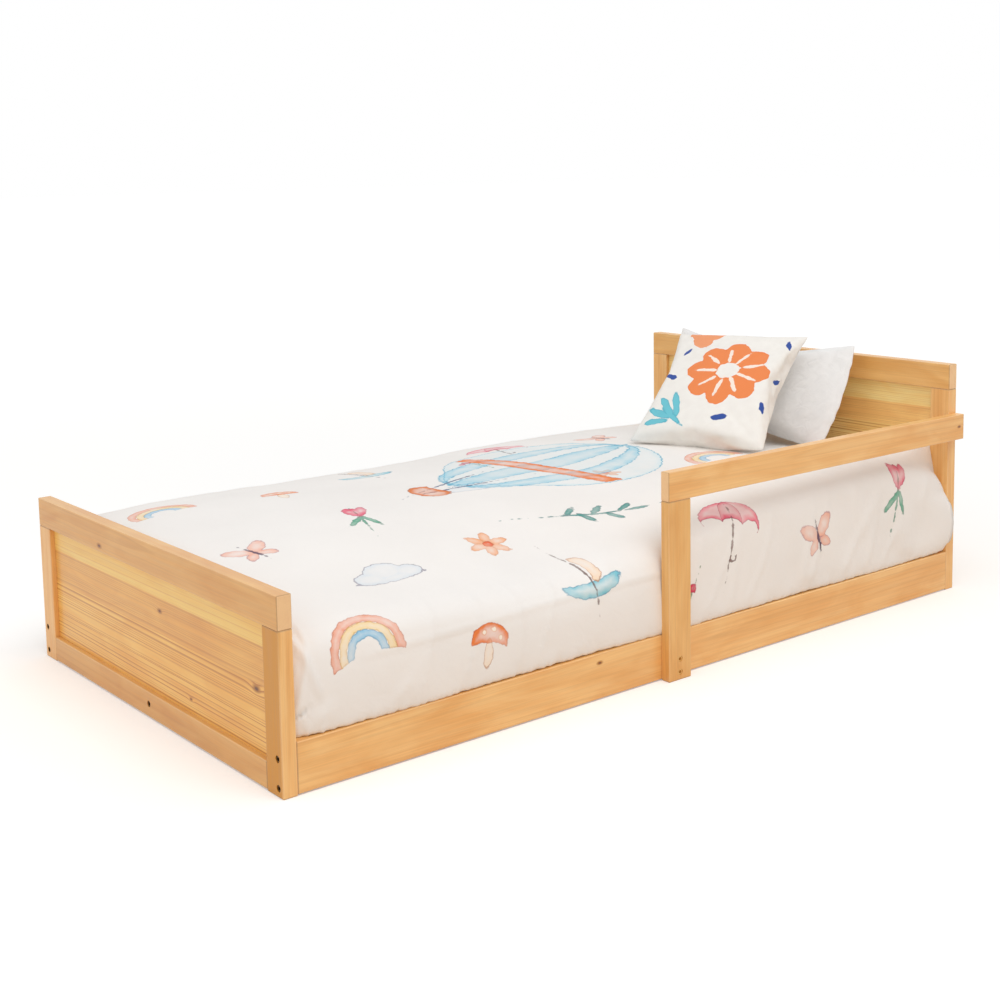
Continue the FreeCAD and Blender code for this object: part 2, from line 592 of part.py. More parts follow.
# Levels of a stuffed pad from its face to its seam: the height as a share of half its thickness, the
# outline as a share of its full size, and how much its sides are drawn in there, or bowed out below 0.
PAD_LEVELS = ((1.0, 0.40, -0.3), (0.88, 0.66, 0.1), (0.5, 0.87, 0.6))
PAD_SEAM = (0.0, 1.0, 1.0)
# A pad is lowered in steps until it lies this near its seat, in millimetres.
SETTLED = 0.03
SETTLE_STEPS = 60


def bedding_section(share, ending, depth, tail, hem, low):
    """The bedding's outline across the bed at a share of its length, a depth below the quilt's face."""
    width = number("bed_width")
    drop = number("quilt_end_drop") * ending + depth
    side = number("quilt_bulge") + number("quilt_end_round") * ending + depth
    roll = side + number("quilt_roll")
    bend = side + number("quilt_roll") / 4
    lip = low + number("quilt_lip")
    near = number("quilt_near_shoulder") + number("quilt_head_rise") * ramp(share, *NEAR_RISE) - drop
    far = number("quilt_far_shoulder") - number("quilt_far_fall") * ramp(share, *FAR_FALL) - drop
    crown = number("quilt_crown") - number("quilt_pillow_sag") * ramp(share, *PILLOW_SAG) - drop
    inner = number("bed_length") - 2 * number("frame_thickness") - 2 * number("soft_gap") - 2 * depth
    x = number("soft_gap") + depth + share * inner
    rise = number("quilt_roll_rise")
    fall = number("quilt_roll_drop")
    tail += number("quilt_end_round") * ending
    points = {
        "near_hem": (x, tail, hem), "near_rail": (x, tail, low), "near_side": (x, side, lip),
        "near_turn": (x, side, near - fall), "near_bend": (x, bend, near - fall / 4),
        "near_top": (x, roll, near + rise), "crown": (x, width / 2, crown),
        "far_top": (x, width - roll, far + rise), "far_bend": (x, width - bend, far - fall / 4),
        "far_turn": (x, width - side, far - fall), "far_side": (x, width - side, lip),
        "far_rail": (x, width - tail, low), "far_hem": (x, width - tail, hem),
    }
    runs = (("near_hem", "near_rail"), ("near_rail", "near_side"), ("near_side", "near_turn"),
            ("near_turn", "near_bend", "near_top"), ("near_top", "crown", "far_top"),
            ("far_top", "far_bend", "far_turn"), ("far_turn", "far_side"), ("far_side", "far_rail"),
            ("far_rail", "far_hem"), ("far_hem", "near_hem"))
    return polyline_and_arcs([[points[name] for name in run] for run in runs])


def bedding_form(depth, tail, hem):
    """A solid that lies everywhere a depth below the quilt's face."""
    low = number("floor_gap") + number("side_rail_height") + number("soft_gap")
    outlines = [bedding_section(share, ending, depth, tail, hem, low) for share, ending in BEDDING_STATIONS]
    return Part.makeLoft(outlines, True, True)


def mattress_and_quilt():
    """The foam mattress and the quilt that covers it and is tucked inside the rails."""
    gap = number("soft_gap")
    thickness = number("quilt_thickness")
    inset = number("quilt_bulge") + thickness
    slat_top = number("ledger_top") + number("slat_thickness")
    rail_top = number("floor_gap") + number("side_rail_height")
    origin = FreeCAD.Vector(number("frame_thickness") - number("bed_length") / 2,
                            (number("guard_thickness") - number("bed_width")) / 2, 0)
    place = FreeCAD.Placement(origin, FreeCAD.Rotation())
    foam = bedding_form(thickness, inset, slat_top + gap)
    room = bedding_form(thickness - gap, inset - gap, slat_top)
    cover = bedding_form(0, number("side_rail_thickness") + gap, rail_top - number("quilt_tuck"))
    soft_piece("mattress", foam, place)
    return soft_piece("quilt", cover.cut(room), place)


def pad_outline(half_long, half_short, draw, height):
    """A pad's outline at one level: four sides that are arcs, drawn in or bowed out."""
    tips = [(-half_long, -half_short), (half_long, -half_short), (half_long, half_short),
            (-half_long, half_short)]
    middles = [(0, -half_short + draw), (half_long - draw, 0), (0, half_short - draw),
               (-half_long + draw, 0)]
    runs = []
    for index in range(4):
        start = tips[index]
        end = tips[(index + 1) % 4]
        runs.append([(*start, height), (*middles[index], height), (*end, height)])
    return polyline_and_arcs(runs)


def stuffed_pad(long_side, short_side, thickness, draw):
    """A stuffed pad: full at its crown, thin at its seam, with sides that pull in between the corners."""
    lower = tuple((-level, share, pull) for level, share, pull in reversed(PAD_LEVELS))
    levels = PAD_LEVELS + (PAD_SEAM,) + lower
    outlines = [pad_outline(long_side / 2 * share, short_side / 2 * share, draw * pull,
                            level * thickness / 2) for level, share, pull in levels]
    return Part.makeLoft(outlines, True, True)


def settle(shape, supports, seat):
    """Lowers a soft piece from above until its seat is all the space between it and what carries it."""
    lowered = 0
    for _ in range(SETTLE_STEPS):
        space = min(shape.distToShape(support.Shape)[0] for support in supports) - seat
        if space < SETTLED:
            break
        shape.translate(FreeCAD.Vector(0, 0, -space))
        lowered += space
    return lowered


def pillow_and_cushion(quilt):
    """The pillow that leans towards the head frame and the throw cushion in front of it."""
    head_face = number("bed_length") / 2 - number("frame_thickness")
    near = (number("guard_thickness") - number("bed_width")) / 2
    supports = [quilt]
    for label, width, height in (
            ("pillow", number("pillow_width"), number("pillow_height")),
            ("cushion", number("cushion_width"), number("cushion_height"))):
        form = stuffed_pad(height, width, number(f"{label}_thickness"), number("pad_draw"))
        start = number("quilt_crown") + height
        place = FreeCAD.Vector(head_face - number(f"{label}_from_head"),
                               near + number(f"{label}_across"), start)
        lean = FreeCAD.Rotation(AXES["y"], -number(f"{label}_lean"))
        facing = FreeCAD.Rotation(AXES["z"], number(f"{label}_turn"))
        trial = form.copy()
        trial.Placement = FreeCAD.Placement(place, facing.multiply(lean))
        place.z -= settle(trial, supports, number(f"{label}_seat"))
        supports.append(soft_piece(label, form, FreeCAD.Placement(place, facing.multiply(lean))))


def check_document():
    """Stops if any object failed or any sub-part is empty or broken."""
    failed = [item.Name for item in doc.Objects if "Invalid" in item.State or "Error" in item.State]
    if failed:
        raise RuntimeError(f"failed objects: {failed}")
    for node in nodes:
        if node.Shape.isNull() or not node.Shape.isValid():
            raise RuntimeError(f"{node.Label} has no sound shape")


def build():
    """Every sub-part, checked and written."""
    end_frame("foot", FOOT, FOOT_INNER, "x", "Size.foot_height",
              ("Size.foot_board_one", "Size.foot_board_one + Size.foot_board_two",
               "Size.foot_board_one + Size.foot_board_two + Size.foot_board_three"))
    head_board_count = int(number("head_board_count"))
    head_board_tops = [f"{index} * Size.head_board_width" for index in range(1, head_board_count)]
    end_frame("head", HEAD, HEAD_INNER, "-x", "Size.head_height", head_board_tops)
    by_label = {node.Label: node for node in nodes}
    near_inner = f"({NEAR} + Size.side_rail_thickness)"
    far_inner = f"({FAR} - Size.side_rail_thickness)"
    rails = {"near": side_rail("near", NEAR, near_inner, f"({NEAR} + {RAIL_LINE})", "y"),
             "far": side_rail("far", far_inner, far_inner, f"({FAR} - {RAIL_LINE})", "-y")}
    corner_fasteners("foot", FOOT, "x")
    corner_fasteners("head", HEAD, "-x")
    middle_beam()
    ledgers_and_slats(rails)
    guard(rails["near"], by_label["head_stile_near"])
    pillow_and_cushion(mattress_and_quilt())
    doc.recompute()
    check_document()
    os.makedirs("parts", exist_ok=True)
    for node in nodes:
        node.Shape.exportStep(f"parts/{node.Label}.step")
    print(f"{len(nodes)} sub-parts written")


build()
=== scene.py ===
import math

import bmesh
import bpy
import numpy as np
from mathutils import Matrix, Vector, noise


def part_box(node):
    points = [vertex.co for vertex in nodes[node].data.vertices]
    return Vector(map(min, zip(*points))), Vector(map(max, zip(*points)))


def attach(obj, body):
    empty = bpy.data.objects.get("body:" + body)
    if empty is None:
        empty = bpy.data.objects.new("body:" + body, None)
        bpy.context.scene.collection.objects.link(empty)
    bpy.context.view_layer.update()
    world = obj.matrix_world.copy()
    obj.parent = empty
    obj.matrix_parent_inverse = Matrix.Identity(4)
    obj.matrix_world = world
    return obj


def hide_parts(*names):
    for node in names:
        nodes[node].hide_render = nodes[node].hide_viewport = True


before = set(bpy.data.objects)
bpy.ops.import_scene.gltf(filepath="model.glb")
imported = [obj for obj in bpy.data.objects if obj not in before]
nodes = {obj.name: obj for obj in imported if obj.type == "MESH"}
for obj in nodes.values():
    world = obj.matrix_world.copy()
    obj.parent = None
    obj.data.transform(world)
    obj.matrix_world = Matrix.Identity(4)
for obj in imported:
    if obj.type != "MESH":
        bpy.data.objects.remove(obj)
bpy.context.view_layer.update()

# A toddler's floor bed of planed wood with its bedding. +X runs from the foot to the head, +Y from the
# guarded side to the far side and +Z up, in metres.
MM = 0.001

# The camera stands off the guarded side at the foot end, at the photograph's viewing angle.
CAMERA_PLACE = (-1.7182, -2.0804, 0.8420)
CAMERA_YAW = 51.35
CAMERA_PITCH = 7.17
CAMERA_ROLL = -1.03
CAMERA_LENS = 54.43
CAMERA_SHIFT = -0.15


def linear(hex_colour):
    """A linear RGBA colour from an sRGB hex value."""
    channels = [int(hex_colour[start:start + 2], 16) / 255 for start in (1, 3, 5)]
    return [c / 12.92 if c <= 0.04045 else ((c + 0.055) / 1.055) ** 2.4 for c in channels] + [1.0]


def add(tree, kind, sockets=None, **settings):
    """Adds a node with its settings. A socket takes a value, a hex colour, a node's first output or an
    output."""
    made = tree.nodes.new(kind if kind.startswith("Node") else "ShaderNode" + kind)
    for name, value in settings.items():
        setattr(made, name, value)
    for key, value in (sockets or {}).items():
        socket = made.inputs[key]
        if isinstance(value, bpy.types.Node):
            tree.links.new(value.outputs[0], socket)
        elif isinstance(value, bpy.types.NodeSocket):
            tree.links.new(value, socket)
        elif isinstance(value, str):
            socket.default_value = linear(value)
        else:
            socket.default_value = value
    return made


def new_material(name):
    """An empty material and its tree."""
    made = bpy.data.materials.new(name)
    made.use_nodes = True
    made.node_tree.nodes.clear()
    return made, made.node_tree


def new_group(name, inputs, outputs):
    """An empty node group and the sockets that it is given."""
    tree = bpy.data.node_groups.new(name, "ShaderNodeTree")
    for in_out, sockets in (("INPUT", inputs), ("OUTPUT", outputs)):
        for label, kind in sockets:
            tree.interface.new_socket(name=label, in_out=in_out, socket_type="NodeSocket" + kind)
    return tree, add(tree, "NodeGroupInput").outputs


def stops(ramp, places, interpolation="LINEAR"):
    """Sets a colour ramp from (position, hex colour) pairs."""
    elements = ramp.color_ramp.elements
    ramp.color_ramp.interpolation = interpolation
    while len(elements) < len(places):
        elements.new(1.0)
    for element, (position, colour) in zip(elements, places):
        element.position = position
        element.color = linear(colour)
    return ramp


def timber_group():
    """Planed timber in millimetres: growth rings round a heart outside the board, cut by its faces, with
    fibres, slow streaks, a knot that the rings flow round, edges painted paler for sanding wear and as a
    painted highlight where they catch the light, a painted shadow line where a board meets its neighbour,
    and end faces painted paler as lit."""
    tree, given = new_group(
        "planed_timber",
        [("Place", "Vector"), ("Half", "Vector"), ("Heart", "Vector"), ("Slope", "Vector"),
         ("Seed", "Vector"), ("Knot", "Vector"), ("Knot size", "Float"), ("Ring", "Float"),
         ("Wander", "Float"), ("Contrast", "Float"), ("Edge wear and highlight", "Float"), ("Heartwood", "Float"),
         ("Light", "Color"), ("Dark", "Color"), ("Line", "Color")],
        [("Color", "Color"), ("Roughness", "Float"), ("Height", "Float")])
    place = given["Place"]
    seeded = add(tree, "VectorMath", {0: place, 1: given["Seed"]}, operation="ADD")
    along = add(tree, "VectorMath", {0: seeded, 1: (0.08, 1, 1)}, operation="MULTIPLY")
    strands = add(tree, "VectorMath", {0: seeded, 1: (0.012, 1, 1)}, operation="MULTIPLY")

    # Distance from the heart, which leans a little along the board and wanders.
    x_place = add(tree, "SeparateXYZ", {0: place})
    lean = add(tree, "VectorMath", {0: given["Slope"], "Scale": x_place}, operation="SCALE")
    heart = add(tree, "VectorMath", {0: given["Heart"], 1: lean}, operation="ADD")
    away = add(tree, "VectorMath", {0: place, 1: heart}, operation="SUBTRACT")
    flat = add(tree, "VectorMath", {0: away, 1: (0, 1, 1)}, operation="MULTIPLY")
    radius = add(tree, "VectorMath", {0: flat}, operation="LENGTH").outputs["Value"]
    wander = add(tree, "TexNoise", {"Vector": along, "Scale": 0.014, "Detail": 3.0})
    shift = add(tree, "MapRange", {0: wander, 1: 0.0, 2: 1.0, 3: -0.5, 4: 0.5}, clamp=False)
    wandered = add(tree, "Math", {0: shift, 1: given["Wander"], 2: radius}, operation="MULTIPLY_ADD")

    # The knot pushes the rings aside.
    to_knot = add(tree, "VectorMath", {0: place, 1: given["Knot"]}, operation="SUBTRACT")
    across_board = add(tree, "VectorMath", {0: to_knot, 1: (0.5, 1, 0.15)}, operation="MULTIPLY")
    knot_far = add(tree, "VectorMath", {0: across_board}, operation="LENGTH").outputs["Value"]
    knot_size = add(tree, "Math", {0: given["Knot size"], 1: 0.001}, operation="MAXIMUM")
    knot_share = add(tree, "Math", {0: knot_far, 1: knot_size}, operation="DIVIDE")
    squared = add(tree, "Math", {0: knot_share, 1: 2.0}, operation="POWER")
    fading = add(tree, "Math", {0: squared, 1: -0.22}, operation="MULTIPLY")
    bulge = add(tree, "Math", {0: fading}, operation="EXPONENT")
    pushed = add(tree, "Math", {0: bulge, 1: given["Knot size"]}, operation="MULTIPLY")
    rings_at = add(tree, "Math", {0: pushed, 1: 1.3, 2: wandered}, operation="MULTIPLY_ADD")

    # Uneven years, each with a soft early part and a sharp late line.
    years = add(tree, "Math", {0: rings_at, 1: given["Ring"]}, operation="DIVIDE")
    uneven = add(tree, "TexNoise", {"W": years, "Scale": 0.31, "Detail": 1.0}, noise_dimensions="1D")
    year = add(tree, "Math", {0: uneven, 1: 2.4, 2: years}, operation="MULTIPLY_ADD")
    part = add(tree, "Math", {0: year}, operation="FRACT")
    late = stops(add(tree, "ValToRGB", {0: part}),
                 ((0.0, "#000000"), (0.55, "#202020"), (0.9, "#FFFFFF"), (1.0, "#101010")))
    strength = add(tree, "TexNoise", {"W": years, "Scale": 0.9, "Detail": 0.0}, noise_dimensions="1D")
    late_line = add(tree, "Math", {0: late, 1: strength}, operation="MULTIPLY")
    line = add(tree, "Math", {0: late_line, 1: given["Contrast"]}, operation="MULTIPLY", use_clamp=True)

    # Slow streaks and blotches, then fibres 1.5 mm wide, coarser than real ones so that they show.
    clouded = add(tree, "VectorMath", {0: seeded, 1: (0.28, 1, 1)}, operation="MULTIPLY")
    blotch = add(tree, "TexNoise", {"Vector": clouded, "Scale": 0.021, "Detail": 3.0, "Distortion": 1.1})
    streak = add(tree, "TexNoise", {"Vector": strands, "Scale": 0.07, "Detail": 3.0})
    tone = add(tree, "Math", {0: blotch, 1: 1.5, 2: streak}, operation="MULTIPLY_ADD")
    toned = add(tree, "MapRange", {0: tone, 1: 0.98, 2: 1.54}, clamp=True)
    base = add(tree, "Mix", {0: toned, 6: given["Light"], 7: given["Dark"]}, data_type="RGBA")
    # Near the heart the wood is darker and more golden, inside a boundary that follows the rings.
    to_heart = add(tree, "Math", {0: given["Heartwood"], 1: wandered}, operation="SUBTRACT")
    golden = add(tree, "MapRange", {0: to_heart, 1: -2.0, 2: 2.0}, clamp=True)
    hearted = add(tree, "Mix", {0: golden, 6: base.outputs[2], 7: "#D4911A"}, data_type="RGBA")
    lined = add(tree, "Mix", {0: line, 6: hearted.outputs[2], 7: given["Line"]}, data_type="RGBA")
    fibre = add(tree, "TexNoise", {"Vector": strands, "Scale": 0.65, "Detail": 2.0})
    fine = add(tree, "MapRange", {0: fibre, 1: 0.25, 2: 0.75, 3: 0.93, 4: 1.06}, clamp=True)
    fibred = add(tree, "VectorMath", {0: lined.outputs[2], "Scale": fine}, operation="SCALE")

    # The knot itself, dark in its middle with a brown rim.
    rim = add(tree, "MapRange", {0: knot_share, 1: 1.6, 2: 0.75}, clamp=True)
    core = add(tree, "MapRange", {0: knot_share, 1: 0.7, 2: 0.35}, clamp=True)
    rimmed = add(tree, "Mix", {0: rim, 6: fibred, 7: "#B0701E"}, data_type="RGBA")
    knotted = add(tree, "Mix", {0: core, 6: rimmed.outputs[2], 7: "#64320A"}, data_type="RGBA")

    # Distance to the nearest edge: the middle one of the distances to the three pairs of faces.
    outward = add(tree, "VectorMath", {0: place}, operation="ABSOLUTE")
    inside = add(tree, "VectorMath", {0: given["Half"], 1: outward}, operation="SUBTRACT")
    depth = add(tree, "SeparateXYZ", {0: inside}).outputs
    lesser = add(tree, "Math", {0: depth[1], 1: depth[2]}, operation="MINIMUM")
    greater = add(tree, "Math", {0: depth[1], 1: depth[2]}, operation="MAXIMUM")
    capped = add(tree, "Math", {0: greater, 1: depth[0]}, operation="MINIMUM")
    edge_far = add(tree, "Math", {0: lesser, 1: capped}, operation="MAXIMUM")
    # Edges are painted paler: partly sanding wear, and partly a painted highlight where the rounded edges
    # catch the light.
    at_edge = add(tree, "MapRange", {0: edge_far, 1: 2.4, 2: 0.6}, clamp=True)
    wear_and_highlight = add(tree, "Math", {0: at_edge, 1: given["Edge wear and highlight"]}, operation="MULTIPLY")
    pale_edged = add(tree, "Mix", {0: wear_and_highlight, 6: knotted.outputs[2], 7: "#F6E2C4"}, data_type="RGBA")
    # A painted shadow line where the board's end meets its neighbour, and end faces painted paler, as
    # painted light where the light falls on them.
    joint_shadow = add(tree, "MapRange", {0: depth[0], 1: 2.3, 2: 0.9, 3: 1.0, 4: 0.7}, clamp=True)
    end = add(tree, "MapRange", {0: depth[0], 1: 0.35, 2: 0.1}, clamp=True)
    shade = add(tree, "Math", {0: joint_shadow, 1: end}, operation="MAXIMUM")
    # End faces are painted paler: painted light on the end grain.
    end_light = add(tree, "Math", {0: end, 1: 0.6}, operation="MULTIPLY")
    end_lit = add(tree, "Mix", {0: end_light, 6: pale_edged.outputs[2], 7: "#F8D3A6"}, data_type="RGBA")
    finished = add(tree, "VectorMath", {0: end_lit.outputs[2], "Scale": shade}, operation="SCALE")

    rough = add(tree, "MapRange", {0: fibre, 1: 0.3, 2: 0.7, 3: 0.42, 4: 0.56}, clamp=True)
    relief = add(tree, "Math", {0: fibre, 1: 0.035}, operation="MULTIPLY")
    height = add(tree, "Math", {0: late_line, 1: 0.03, 2: relief}, operation="MULTIPLY_ADD")
    add(tree, "NodeGroupOutput", {"Color": finished, "Roughness": rough, "Height": height})
    return tree


def surfaced(tree, colour, height, depth, strength, finish):
    """Ends a material: its colour, a relief as deep as depth, in metres, and the finish's own values."""
    bump = add(tree, "Bump", {"Height": height, "Distance": depth, "Strength": strength})
    shader = add(tree, "BsdfPrincipled", {"Base Color": colour, "Normal": bump, **finish})
    add(tree, "OutputMaterial", {0: shader})


def planed_board(timber, name, seed):
    """Oiled softwood, planed and sanded: satin, with its rings along the board's longest side."""
    low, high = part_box(name)
    middle = (low + high) / 2
    half = (high - low) / 2
    order = sorted(range(3), key=lambda axis: -half[axis])
    made, tree = new_material(f"oiled_{name}")
    spot = add(tree, "TexCoord").outputs["Object"]
    centred = add(tree, "VectorMath", {0: spot, 1: middle}, operation="SUBTRACT")
    in_mm = add(tree, "VectorMath", {0: centred, "Scale": 1 / MM}, operation="SCALE")
    parts = add(tree, "SeparateXYZ", {0: in_mm}).outputs
    turned = add(tree, "CombineXYZ", {index: parts[axis] for index, axis in enumerate(order)})
    sides = Vector([half[axis] / MM for axis in order])
    knot_size = 0.0
    knot_place = (0, 0, 0)
    if name in KNOTS:
        *knot_at, knot_size = KNOTS[name]
        knot_place = [knot_at[axis] - middle[axis] / MM for axis in order]
    look = timber_look(name)
    board = add(tree, "Group", {
        "Place": turned, "Half": sides, "Heart": (0, *look["heart"](sides, seed)),
        "Slope": (0, *look["slope"](seed)), "Seed": [seed * step for step in CUT_APART],
        "Knot": knot_place, "Knot size": knot_size, "Ring": look["ring"], "Wander": look["wander"],
        "Contrast": look["contrast"], "Edge wear and highlight": look["edge_wear_and_highlight"], "Heartwood": HEARTWOOD.get(name, 0.0),
        "Light": look["light"], "Dark": look["dark"], "Line": look["line"]}, node_tree=timber).outputs
    surfaced(tree, board["Color"], board["Height"], MM, 1.0,
             {"Roughness": board["Roughness"], "IOR": 1.5, "Coat Weight": 0.45, "Coat Roughness": 0.24})
    return made


def flat_sawn(sides, seed):
    """The heart lies behind the wide face, so that the rings make long arches on it."""
    return (math.sin(seed * 2.1) * sides[1] * 0.6, -sides[1] * (1.1 + 0.4 * math.sin(seed * 3.7)))


def quarter_sawn(sides, seed):
    """The heart lies far off in the plane of the wide face, so that the rings cross it as straight lines."""
    return (-260 - 60 * math.sin(seed * 1.9), math.sin(seed * 2.7) * 40)


def gentle_slope(seed):
    """How far the heart moves across and up along a board cut a little off the grain."""
    return (0.012 * math.sin(seed * 5.1), 0.02 + 0.012 * math.sin(seed * 4.3))


def straight_slope(seed):
    """The same for a board cut along the grain."""
    return (0.006 * math.sin(seed * 5.1), 0.004 * math.sin(seed * 4.3))


# Alder: even honey-coloured wood with a faint wide figure.
ALDER = {"heart": flat_sawn, "slope": gentle_slope, "ring": 8.0, "wander": 34.0, "contrast": 0.5,
         "edge_wear_and_highlight": 0.16, "light": "#F8C680", "dark": "#EDAF63", "line": "#D6954B"}
# Alder from another log: the same figure, browner.
BROWN_ALDER = {**ALDER, "light": "#E7B268", "dark": "#DA9C51", "line": "#C0823D"}
# Alder between the two.
GOLDEN_ALDER = {**ALDER, "light": "#F0BC72", "dark": "#E4A758", "line": "#CC8B46"}
# Cedar sapwood: yellow, with close straight orange-brown lines.
YELLOW_CEDAR = {"heart": quarter_sawn, "slope": straight_slope, "ring": 5.4, "wander": 9.0, "contrast": 1.8,
                "edge_wear_and_highlight": 0.0, "light": "#FCCB70", "dark": "#F1B459", "line": "#C27A32"}
# The palest sapwood, nearly without lines.
PALE_CEDAR = {**YELLOW_CEDAR, "ring": 3.6, "contrast": 0.7, "light": "#FDD980", "dark": "#F6C566",
              "line": "#DDA05A"}
# Cedar heartwood: tan, its lines closer to the ground colour.
BROWN_CEDAR = {"heart": quarter_sawn, "slope": straight_slope, "ring": 4.6, "wander": 12.0, "contrast": 0.9,
               "edge_wear_and_highlight": 0.0, "light": "#F3BC66", "dark": "#E6A756", "line": "#BC7636"}
# The head's boards: each of the three cedars painted paler, as painted light that lifts the shade the head
# panel lies in.
PAINTED_LIGHT_HEAD_CEDAR = {**YELLOW_CEDAR, "light": "#FDDA8E", "dark": "#F7C978", "line": "#CB8740"}
PAINTED_LIGHT_HEAD_PALE_CEDAR = {**PALE_CEDAR, "light": "#FEE49A", "dark": "#FAD585"}
PAINTED_LIGHT_HEAD_BROWN_CEDAR = {**BROWN_CEDAR, "light": "#FDCD7D", "dark": "#F0B66A", "line": "#C98A4C"}
# Pine slats: pale, hidden under the mattress.
PINE = {"heart": flat_sawn, "slope": gentle_slope, "ring": 6.0, "wander": 20.0, "contrast": 0.8,
        "edge_wear_and_highlight": 0.3, "light": "#F0D5A4", "dark": "#E6C48C", "line": "#D3A868"}

LOOKS = {"foot_panel_board_3": BROWN_CEDAR, "foot_panel_board_4": PALE_CEDAR,
         "head_panel_board_8": PAINTED_LIGHT_HEAD_PALE_CEDAR, "head_panel_board_7": PAINTED_LIGHT_HEAD_BROWN_CEDAR,
         "foot_top_rail": BROWN_ALDER, "foot_bottom_rail": BROWN_ALDER,
         "head_top_rail": GOLDEN_ALDER, "guard_post": GOLDEN_ALDER}
# Boards with heartwood in them: how far it reaches from the heart, in millimetres.
HEARTWOOD = {"foot_stile_near": 34.0}
# How far apart in the grain's noise one board lies from the next.
CUT_APART = (731.7, 37.3, 91.1)
# Knots: their place in the bed's millimetres and their radius.
KNOTS = {"foot_panel_board_3": (-744, -26, 176, 3.2), "foot_panel_board_2": (-744, -314, 132, 4.6),
         "foot_panel_board_1": (-744, -117, 63, 2.0), "foot_top_rail": (-750, 164, 242, 3.6),
         "side_rail_near": (-179, -391, 60, 2.6), "guard_rail": (735, -409, 322, 2.4)}


def timber_look(name):
    """Which timber a board is made of."""
    if name in LOOKS:
        return LOOKS[name]
    if "panel_board" in name:
        return PAINTED_LIGHT_HEAD_CEDAR if name.startswith("head") else YELLOW_CEDAR
    if name.startswith(("slat_", "ledger_", "centre_beam")):
        return PINE
    return ALDER


def plated_steel(name, light, dark):
    """Plated steel, faintly mottled by the plating bath."""
    made, tree = new_material(name)
    spot = add(tree, "TexCoord").outputs["Object"]
    mottle = add(tree, "TexNoise", {"Vector": spot, "Scale": 0.4 / MM, "Detail": 3.0})
    rough = add(tree, "MapRange", {0: mottle, 1: 0.3, 2: 0.7, 3: 0.28, 4: 0.45}, clamp=True)
    tint = stops(add(tree, "ValToRGB", {0: mottle}), ((0.3, dark), (0.7, light)))
    surfaced(tree, tint, mottle, 0.05 * MM, 0.6, {"Metallic": 1.0, "Roughness": rough})
    return made


FASTENERS = ("bolts", "nuts", "inserts", "screws")
SOFT_PIECES = ("mattress", "quilt", "pillow", "cushion")


def dress(name, material):
    """Gives a piece of the frame its material."""
    materials = nodes[name].data.materials
    materials.clear()
    materials.append(material)


def dress_frame():
    """Gives every wooden board its own timber, and the fasteners their steel."""
    timber = timber_group()
    # Bright zinc on what lies inside, a dark bronze on the corner bolts and brass on the guard's bolts.
    zinc = plated_steel("zinc_plated_steel", "#C4C6C8", "#A9ABAE")
    bronze = plated_steel("bronzed_steel", "#7A5A34", "#5B4126")
    brass = plated_steel("brass_plated_steel", "#E3BC7C", "#C99C5A")
    metals = {"foot_corner_bolts": bronze, "head_corner_bolts": bronze, "beam_bolts": bronze,
              "guard_bolts": brass}
    boards = [name for name in sorted(nodes) if not name.endswith(FASTENERS) and name not in SOFT_PIECES]
    for seed, name in enumerate(boards, start=1):
        dress(name, planed_board(timber, name, seed))
    for name in nodes:
        if name.endswith(FASTENERS):
            dress(name, metals.get(name, zinc))


# The bedding in millimetres: heights above the floor, and places along the bed from its foot end.
NEAR_SHOULDER = ((23, 211), (129, 212), (278, 207), (497, 195), (722, 216), (892, 250), (1054, 257),
                 (1205, 266), (1340, 266), (1420, 250), (1477, 224))
FAR_SHOULDER = ((23, 236), (173, 242), (270, 242), (480, 240), (708, 240), (962, 246), (1127, 245),
                (1243, 241), (1365, 237), (1477, 235))
CROWN = ((23, 260), (200, 267), (480, 269), (760, 272), (1050, 277), (1180, 277), (1330, 258), (1477, 260))
BED_MIDDLE = 750
QUILT_THICKNESS = 9
# How far the mattress lies under the quilt's face, the bedding in from the rails' outer faces, and the hem
# below the rails' tops.
FILLING_DEPTH = 33
SIDE_MARGIN = 1.0
HEM_TUCK = 16
# The grid's squares, the cloth from hem to hem, and the steps in which a line's corners are rounded.
CLOTH_STEP = 6.6
CLOTH_WIDTH = 1330
KNOT_STEPS = 8
# The bedding lies between the inner faces of the ends, and each of its ends is rounded off: over how long
# a run, by how much it gets lower and narrower there, and with how many columns of the grid.
FOOT_FACE = 23
HEAD_FACE = 1477
END_GAP = 0.4
END_ROUND = 48
FOOT_ROUND = {"drop": 34, "inset": 20, "columns": 20}
HEAD_ROUND = {"drop": 12, "inset": 6, "columns": 9}
# The outline across the bed, from a rail up: how far in each point is from the side, and how high. The tuck
# goes down inside the rail, the hem is measured from the lip over the rail and the shoulder from its own
# height, and the waist is halfway between them.
RAIL_GAP = 1.5
TUCK_TURN = 9
TUCK_HEIGHTS = (-3, 1.2)
LIP_RISE = 1.6
HEM_LINE = ((3.4, -3.0), (-1.0, 6), (-2.4, 30))
WAIST = -2.0
SHOULDER_LINE = ((1.5, -30), (10.24, -11), (32, 3), (64, 11), (128, 19))
# The crown's points: shares of the bed's width, and how far they are from the crown's height.
CROWN_LINE = ((0.36, -2.5), (0.5, 0), (0.66, -0.5))
# The lip's waves: height, length and place in the noise.
LIP_WAVES = ((0.9, 70, 3.1), (0.5, 21, 7.7))


